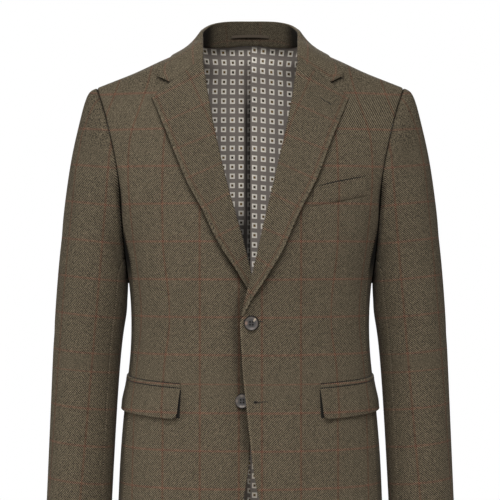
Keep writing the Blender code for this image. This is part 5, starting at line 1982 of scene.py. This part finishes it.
def colour_property(name, description, default, most=1.0):
    return FloatVectorProperty(name=name, description=description, default=default, subtype="COLOR", size=3,
                               min=0.0, max=most)


def power_property(name, description, default):
    return FloatProperty(name=name, description=description, default=default, unit="POWER")


class BLAZER_PG_sizes(bpy.types.PropertyGroup):
    """Cloth thicknesses and the sizes of the weave, the check and the lining's squares."""

    body_wall: length_property("Body cloth", "Thickness of the fronts, sides and back", 0.0020)
    sleeve_wall: length_property("Sleeve cloth", "Thickness of the sleeves", 0.0018)
    turned_wall: length_property("Turned cloth", "Thickness of the lapels and the collar", 0.0016)
    lining_wall: length_property("Lining", "Thickness of the back lining", 0.0008)
    pocket_wall: length_property("Pocket cloth", "Thickness of flaps, jettings and the welt", 0.0020)
    tape_wall: length_property("Loop tape", "Thickness of the hanger loop", 0.0012)
    yarn_pitch: length_property("Yarn pitch", "Distance between yarns of the twill", 0.00082)
    check_across: length_property("Check across", "Distance between upright lines of the check", 0.0555)
    check_down: length_property("Check down", "Distance between level lines of the check", 0.0538)
    lapel_check_down: length_property("Lapel check", "Distance between cross lines on the lapels", 0.047)
    check_half_width: length_property("Check line", "Half width of a line of the check", 0.0024)
    square_across: length_property("Square across", "Distance between squares across the lining", 0.0139)
    square_down: length_property("Square down", "Distance between rows of squares", 0.0142)
    square_half: length_property("Square half size", "Half the outer size of a square", 0.0040)
    square_middle: length_property("Square middle", "Half the size of a square's middle", 0.0018)


class BLAZER_PG_colours(bpy.types.PropertyGroup):
    """Colours of the cloth, the lining, the buttons and the thread."""

    light_yarn: colour_property("Light yarn", "Pale yarn of the twill", (0.211, 0.172, 0.115))
    dark_yarn: colour_property("Dark yarn", "Dark yarn of the twill", (0.017, 0.014, 0.010))
    rust_upright: colour_property("Rust warp", "Tint that the check's upright lines give to the yarns",
                                  (1.06, 0.70, 0.66), 2.0)
    rust_level: colour_property("Rust weft", "Tint that the check's level lines give to the yarns",
                                (1.42, 0.96, 0.96), 2.0)
    lining_ground: colour_property("Lining ground", "Taupe ground of the lining", (0.249, 0.217, 0.193))
    square_frame: colour_property("Square frame", "Cream frame of a square", (0.97, 0.91, 0.81))
    square_dark: colour_property("Square dark", "Darkest middle of a square", (0.030, 0.020, 0.010))
    square_ochre: colour_property("Square ochre", "Warmest middle of a square", (0.20, 0.12, 0.03))
    horn_dark: colour_property("Horn dark", "Dark middle of the buttons", (0.055, 0.055, 0.058))
    horn_mid: colour_property("Horn middle", "Grey-brown of the buttons", (0.076, 0.069, 0.065))
    horn_grey: colour_property("Horn grey", "Grey streaks of the rim", (0.155, 0.130, 0.115))
    horn_warm: colour_property("Horn warm", "Warm patch of the rim", (0.30, 0.20, 0.15))
    horn_tan: colour_property("Horn tan", "Dull patches of the lower button", (0.21, 0.175, 0.145))
    # Painted glint of the upper button
    horn_pale: colour_property("Horn pale", "Palest patch", (0.60, 0.50, 0.38))
    # Painted shade of the buttons' flank and holes
    horn_flank: colour_property("Horn flank", "Dark side and holes of the buttons", (0.016, 0.010, 0.006))
    thread: colour_property("Thread", "Sewing thread and buttonholes", (0.098, 0.080, 0.055))
    tape: colour_property("Loop tape", "Woven tape of the hanger loop", (0.064, 0.051, 0.036))


class BLAZER_PG_stage(bpy.types.PropertyGroup):
    """Camera, floor and light of the studio."""

    camera_distance: length_property("Camera distance", "From the camera to the middle of the garment", 2.8)
    eye_height: length_property("Eye height", "Height of the camera against the shoulders", -0.281)
    lens: FloatProperty(name="Lens", description="Focal length on a 36 mm sensor", default=136.2,
                        unit="CAMERA")
    floor_drop: length_property("Floor drop", "How far the floor is below the shoulders", 0.95)
    floor_radius: length_property("Floor radius", "Radius of the round floor", 1.3)
    key_power: power_property("Key light", "Power of the large light above the camera", 124.0)
    fill_power: power_property("Fill light", "Power of the soft light by the camera", 9.0)
    left_power: power_property("Left light", "Power of the strip at image left", 20.0)
    right_power: power_property("Right light", "Power of the strip at image right", 6.0)
    back_power: power_property("Back light", "Power of the light behind the garment", 95.0)
    sky: FloatProperty(name="Room light", description="Strength of the light from all round", default=0.06,
                       subtype="FACTOR")
    floor_colour: colour_property("Floor colour", "Pale colour of the floor", (0.84, 0.83, 0.81))


SIDES = (("_left", 1, True), ("_right", -1, False))
LINED_BODY = ("suiting_body", "lining_plain")
LINED_SLEEVE = ("suiting_sleeve", "lining_plain")


class BLAZER_OT_fronts(bpy.types.Operator):
    """Build both fronts, from the shoulder to the hem"""

    bl_idname = "blazer.fronts"
    bl_label = "Fronts"

    def execute(self, context):
        sizes = context.scene.blazer_sizes
        for tag, side, over in SIDES:
            panel = front_panel(over, sizes.turned_wall)
            cut_piece("front", tag, panel, sizes.body_wall, LINED_BODY,
                      ["back_cloth" + tag, "side_cloth" + tag], side=side, facing=FACING_WIDTH,
                      marks=front_marks(over, panel[0], sizes.turned_wall))
        return {"FINISHED"}


class BLAZER_OT_sides(bpy.types.Operator):
    """Build the side panels under the arms"""

    bl_idname = "blazer.sides"
    bl_label = "Side panels"

    def execute(self, context):
        sizes = context.scene.blazer_sizes
        for tag, side, _ in SIDES:
            panel = side_panel()
            cut_piece("side", tag, panel, sizes.body_wall, LINED_BODY,
                      ["front_cloth" + tag, "back_cloth" + tag], side=side, marks=side_marks(panel[0]))
        return {"FINISHED"}


class BLAZER_OT_backs(bpy.types.Operator):
    """Build both halves of the back"""

    bl_idname = "blazer.backs"
    bl_label = "Back"

    def execute(self, context):
        sizes = context.scene.blazer_sizes
        for tag, side, _ in SIDES:
            panel = back_panel(sizes.check_across)
            cut_piece("back", tag, panel, sizes.body_wall, LINED_BODY,
                      ["collar_cloth", "front_cloth" + tag], side=side, marks=back_marks(panel[0]))
        return {"FINISHED"}


class BLAZER_OT_sleeves(bpy.types.Operator):
    """Build the upper and under panels of both sleeves"""

    bl_idname = "blazer.sleeves"
    bl_label = "Sleeves"

    def execute(self, context):
        sizes = context.scene.blazer_sizes
        first, last = TOP_SLEEVE_SPAN
        ease = SEAM_GAP / 2 / SLEEVE_REACH
        upper = sleeve_panel(first + ease, last - ease, TOP_SLEEVE_COLUMNS)
        under = sleeve_panel(last + ease, first + 2 * math.pi - ease, UNDER_SLEEVE_COLUMNS)
        for tag, side, _ in SIDES:
            for piece, panel in (("top_sleeve", upper), ("under_sleeve", under)):
                cut_piece(piece, tag, panel, sizes.sleeve_wall, LINED_SLEEVE,
                          ["front_cloth" + tag, "back_cloth" + tag], side=side, marks=sleeve_marks(panel[0]))
            armhole_seam(tag, side)
        return {"FINISHED"}


class BLAZER_OT_lapels(bpy.types.Operator):
    """Build both lapels, turned back at the roll line, and the lapel buttonhole"""

    bl_idname = "blazer.lapels"
    bl_label = "Lapels"

    def execute(self, context):
        sizes = context.scene.blazer_sizes
        for tag, side, over in SIDES:
            panel = lapel_panel(over, sizes.turned_wall)
            cut_piece("lapel", tag, panel, sizes.turned_wall, ("suiting_lapel" + tag,),
                      ["front_cloth" + tag], side=side, held="folded", marks=lapel_marks(panel[0]))
        x, z, lift, spring = lapel_sheet(True, sizes.turned_wall)
        first = 1 + len(FOLD_ANGLES)

        def on_lapel(at_x, at_z, rise):
            gap = (x[:, first:, None] - at_x.ravel()) ** 2 + (z[:, first:, None] - at_z.ravel()) ** 2
            near = gap.reshape(-1, at_x.size).argmin(0)
            height = lift[:, first:].ravel()[near].reshape(at_x.shape)
            place = front_point(at_x, at_z, height + sizes.turned_wall / 2 + rise, True)
            place[..., 1] -= spring[:, first:].ravel()[near].reshape(at_x.shape)
            return place

        buttonhole(LAPEL_BUTTONHOLE, on_lapel)
        return {"FINISHED"}


class BLAZER_OT_collar(bpy.types.Operator):
    """Build the collar with its stand, fold and fall"""

    bl_idname = "blazer.collar"
    bl_label = "Collar"

    def execute(self, context):
        sizes = context.scene.blazer_sizes
        panel = collar_panel(sizes.turned_wall)
        # The stand's material is a darker copy of the suiting, painted shade
        cut_piece("collar", "", panel, sizes.turned_wall, ("suiting_collar", "suiting_stand"),
                  ["back_cloth_left", "back_cloth_right"], held="folded", bulge=COLLAR_BULGE,
                  band=STAND_COLUMNS + 2, marks=collar_marks(panel[0]))
        return {"FINISHED"}


class BLAZER_OT_lining(bpy.types.Operator):
    """Build both halves of the back lining with the centre pleat"""

    bl_idname = "blazer.lining"
    bl_label = "Back lining"

    def execute(self, context):
        sizes = context.scene.blazer_sizes
        for tag, side, over in SIDES:
            half = "lining_squares_over" if over else "lining_squares_under"
            cut_piece("back_lining", tag, lining_panel(over), sizes.lining_wall, (half,),
                      ["back_cloth" + tag], "lining", side)
        return {"FINISHED"}


class BLAZER_OT_pockets(bpy.types.Operator):
    """Build the breast welt, and the jettings and flaps of the hip pockets"""

    bl_idname = "blazer.pockets"
    bl_label = "Pockets"

    def execute(self, context):
        sizes = context.scene.blazer_sizes
        lift = (sizes.body_wall + sizes.pocket_wall) / 2 + TRIM_REST
        low = sizes.body_wall / 2 + SEAM_LINE_WALL
        high = lift + sizes.pocket_wall / 2
        cloth = ("suiting_body",)
        cut_piece("breast_welt", "", welt_panel(lift), sizes.pocket_wall, cloth, ["front_cloth_left"],
                  held="laid")
        for tag, side, _ in SIDES:
            cut_piece("jetting", tag, jetting_panel(lift), sizes.pocket_wall, cloth,
                      ["front_cloth" + tag], side=side, bulge=JETTING_BULGE, held="laid")
            cut_piece("flap", tag, flap_panel(lift), sizes.pocket_wall, cloth,
                      ["jetting_cloth" + tag], side=side)
            # Dark strips of painted shade along the pocket seams and mouths and beside the flaps
            painted_shadow_strip("pocket_seam" + tag, pocket_line(-JETTING_HEIGHT - SEAM_LINE / 2, low), side)
            painted_shadow_strip("pocket_mouth" + tag, pocket_line(0.0, high), side)
            painted_shadow_strip("flap_gap" + tag, flap_gap(low), side)
        painted_shadow_strip("breast_pocket_mouth", welt_line(low))
        return {"FINISHED"}


class BLAZER_OT_buttons(bpy.types.Operator):
    """Build the two front buttons with their thread, and the two front buttonholes"""

    bl_idname = "blazer.buttons"
    bl_label = "Buttons and buttonholes"

    def execute(self, context):
        sizes = context.scene.blazer_sizes
        horn_button("upper", UPPER_BUTTON, True, 1, sizes.body_wall)
        horn_button("lower", LOWER_BUTTON, False, -1, sizes.body_wall)

        def on_front(x, z, rise):
            return front_point(x, z, sizes.body_wall / 2 + rise, True)

        for row in FRONT_BUTTONHOLES:
            buttonhole(row, on_front)
        return {"FINISHED"}


class BLAZER_OT_loop(bpy.types.Operator):
    """Build the hanger loop inside the back collar"""

    bl_idname = "blazer.loop"
    bl_label = "Hanger loop"

    def execute(self, context):
        sizes = context.scene.blazer_sizes
        panel = loop_panel(sizes.turned_wall, sizes.tape_wall)
        made = cloth_shell("hanger_loop_tape", panel, sizes.tape_wall, ("loop_tape",))
        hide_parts("hanger_loop")
        return {"FINISHED"}


def area_light(name, place, aim, size, power):
    """A large soft light at a place, turned to a point."""
    light = bpy.data.lights.new(name, "AREA")
    light.shape = "RECTANGLE"
    light.size, light.size_y = size
    light.energy = power
    made = bpy.data.objects.new(name, light)
    bpy.context.scene.collection.objects.link(made)
    back = -unit(np.array(aim) - np.array(place))
    right = unit(np.cross(UPWARD, back))
    made.matrix_world = axes_matrix((right, np.cross(back, right), back, np.array(place)))


class BLAZER_OT_stage(bpy.types.Operator):
    """Set the floor, the studio light and the camera"""

    bl_idname = "blazer.stage"
    bl_label = "Stage"

    def execute(self, context):
        scene, stage = context.scene, context.scene.blazer_stage
        disc = bmesh.new()
        bmesh.ops.create_circle(disc, cap_ends=True, segments=FLOOR_SEGMENTS, radius=stage.floor_radius)
        mesh = bpy.data.meshes.new("floor")
        disc.to_mesh(mesh)
        disc.free()
        floor = bpy.data.objects.new("floor", mesh)
        floor.location = (0.0, 0.0, -stage.floor_drop)
        scene.collection.objects.link(floor)
        pale = bpy.data.materials.new("floor")
        pale.use_nodes = True
        shader = pale.node_tree.nodes["Principled BSDF"]
        shader.inputs["Base Color"].default_value = rgba(stage.floor_colour)
        shader.inputs["Roughness"].default_value = FLOOR_ROUGHNESS
        mesh.materials.append(pale)
        world = bpy.data.worlds.new("studio")
        world.use_nodes = True
        tree = world.node_tree
        tree.nodes.clear()
        white = node(tree, "ShaderNodeBackground", {0: WHITE, 1: 1.0}).outputs[0]
        room = node(tree, "ShaderNodeBackground", {0: ROOM_COLOUR, 1: stage.sky}).outputs[0]
        seen = node(tree, "ShaderNodeLightPath").outputs["Is Camera Ray"]
        mixed = node(tree, "ShaderNodeMixShader", {0: seen, 1: room, 2: white}).outputs[0]
        node(tree, "ShaderNodeOutputWorld", {0: mixed})
        scene.world = world
        scene.view_settings.view_transform = "Standard"
        for name, place, size in LIGHTS:
            area_light(name, place, LIGHT_AIM, size, getattr(stage, name + "_power"))
        lens = bpy.data.cameras.new("camera")
        lens.lens = stage.lens
        lens.sensor_width = SENSOR_WIDTH
        camera = bpy.data.objects.new("camera", lens)
        camera.location = (CAMERA_ASIDE, -stage.camera_distance, stage.eye_height)
        camera.rotation_euler = (math.radians(90.0), 0.0, 0.0)
        scene.collection.objects.link(camera)
        scene.camera = camera
        return {"FINISHED"}


OPERATORS = (BLAZER_OT_stage, BLAZER_OT_fronts, BLAZER_OT_sides, BLAZER_OT_backs, BLAZER_OT_sleeves,
             BLAZER_OT_lapels, BLAZER_OT_collar, BLAZER_OT_lining, BLAZER_OT_pockets, BLAZER_OT_buttons,
             BLAZER_OT_loop)


class BLAZER_PT_sidebar(bpy.types.Panel):
    """Sizes, colours and pieces of the blazer"""

    bl_idname = "BLAZER_PT_sidebar"
    bl_label = "Blazer"
    bl_space_type = "VIEW_3D"
    bl_region_type = "UI"
    bl_category = "Blazer"

    def draw(self, context):
        for group in (context.scene.blazer_sizes, context.scene.blazer_colours, context.scene.blazer_stage):
            column = self.layout.column()
            for name in group.__annotations__:
                column.prop(group, name)
        for operator in OPERATORS:
            self.layout.operator(operator.bl_idname)


GROUPS = (("blazer_sizes", BLAZER_PG_sizes), ("blazer_colours", BLAZER_PG_colours),
          ("blazer_stage", BLAZER_PG_stage))


def register():
    for name, group in GROUPS:
        bpy.utils.register_class(group)
        setattr(bpy.types.Scene, name, PointerProperty(type=group))
    for kind in OPERATORS + (BLAZER_PT_sidebar,):
        bpy.utils.register_class(kind)


def unregister():
    for kind in (BLAZER_PT_sidebar,) + OPERATORS[::-1]:
        bpy.utils.unregister_class(kind)
    for name, group in GROUPS[::-1]:
        delattr(bpy.types.Scene, name)
        bpy.utils.unregister_class(group)


def main():
    register()
    for kind in OPERATORS:
        group, name = kind.bl_idname.split(".")
        getattr(getattr(bpy.ops, group), name)()


if __name__ == "__main__":
    main()
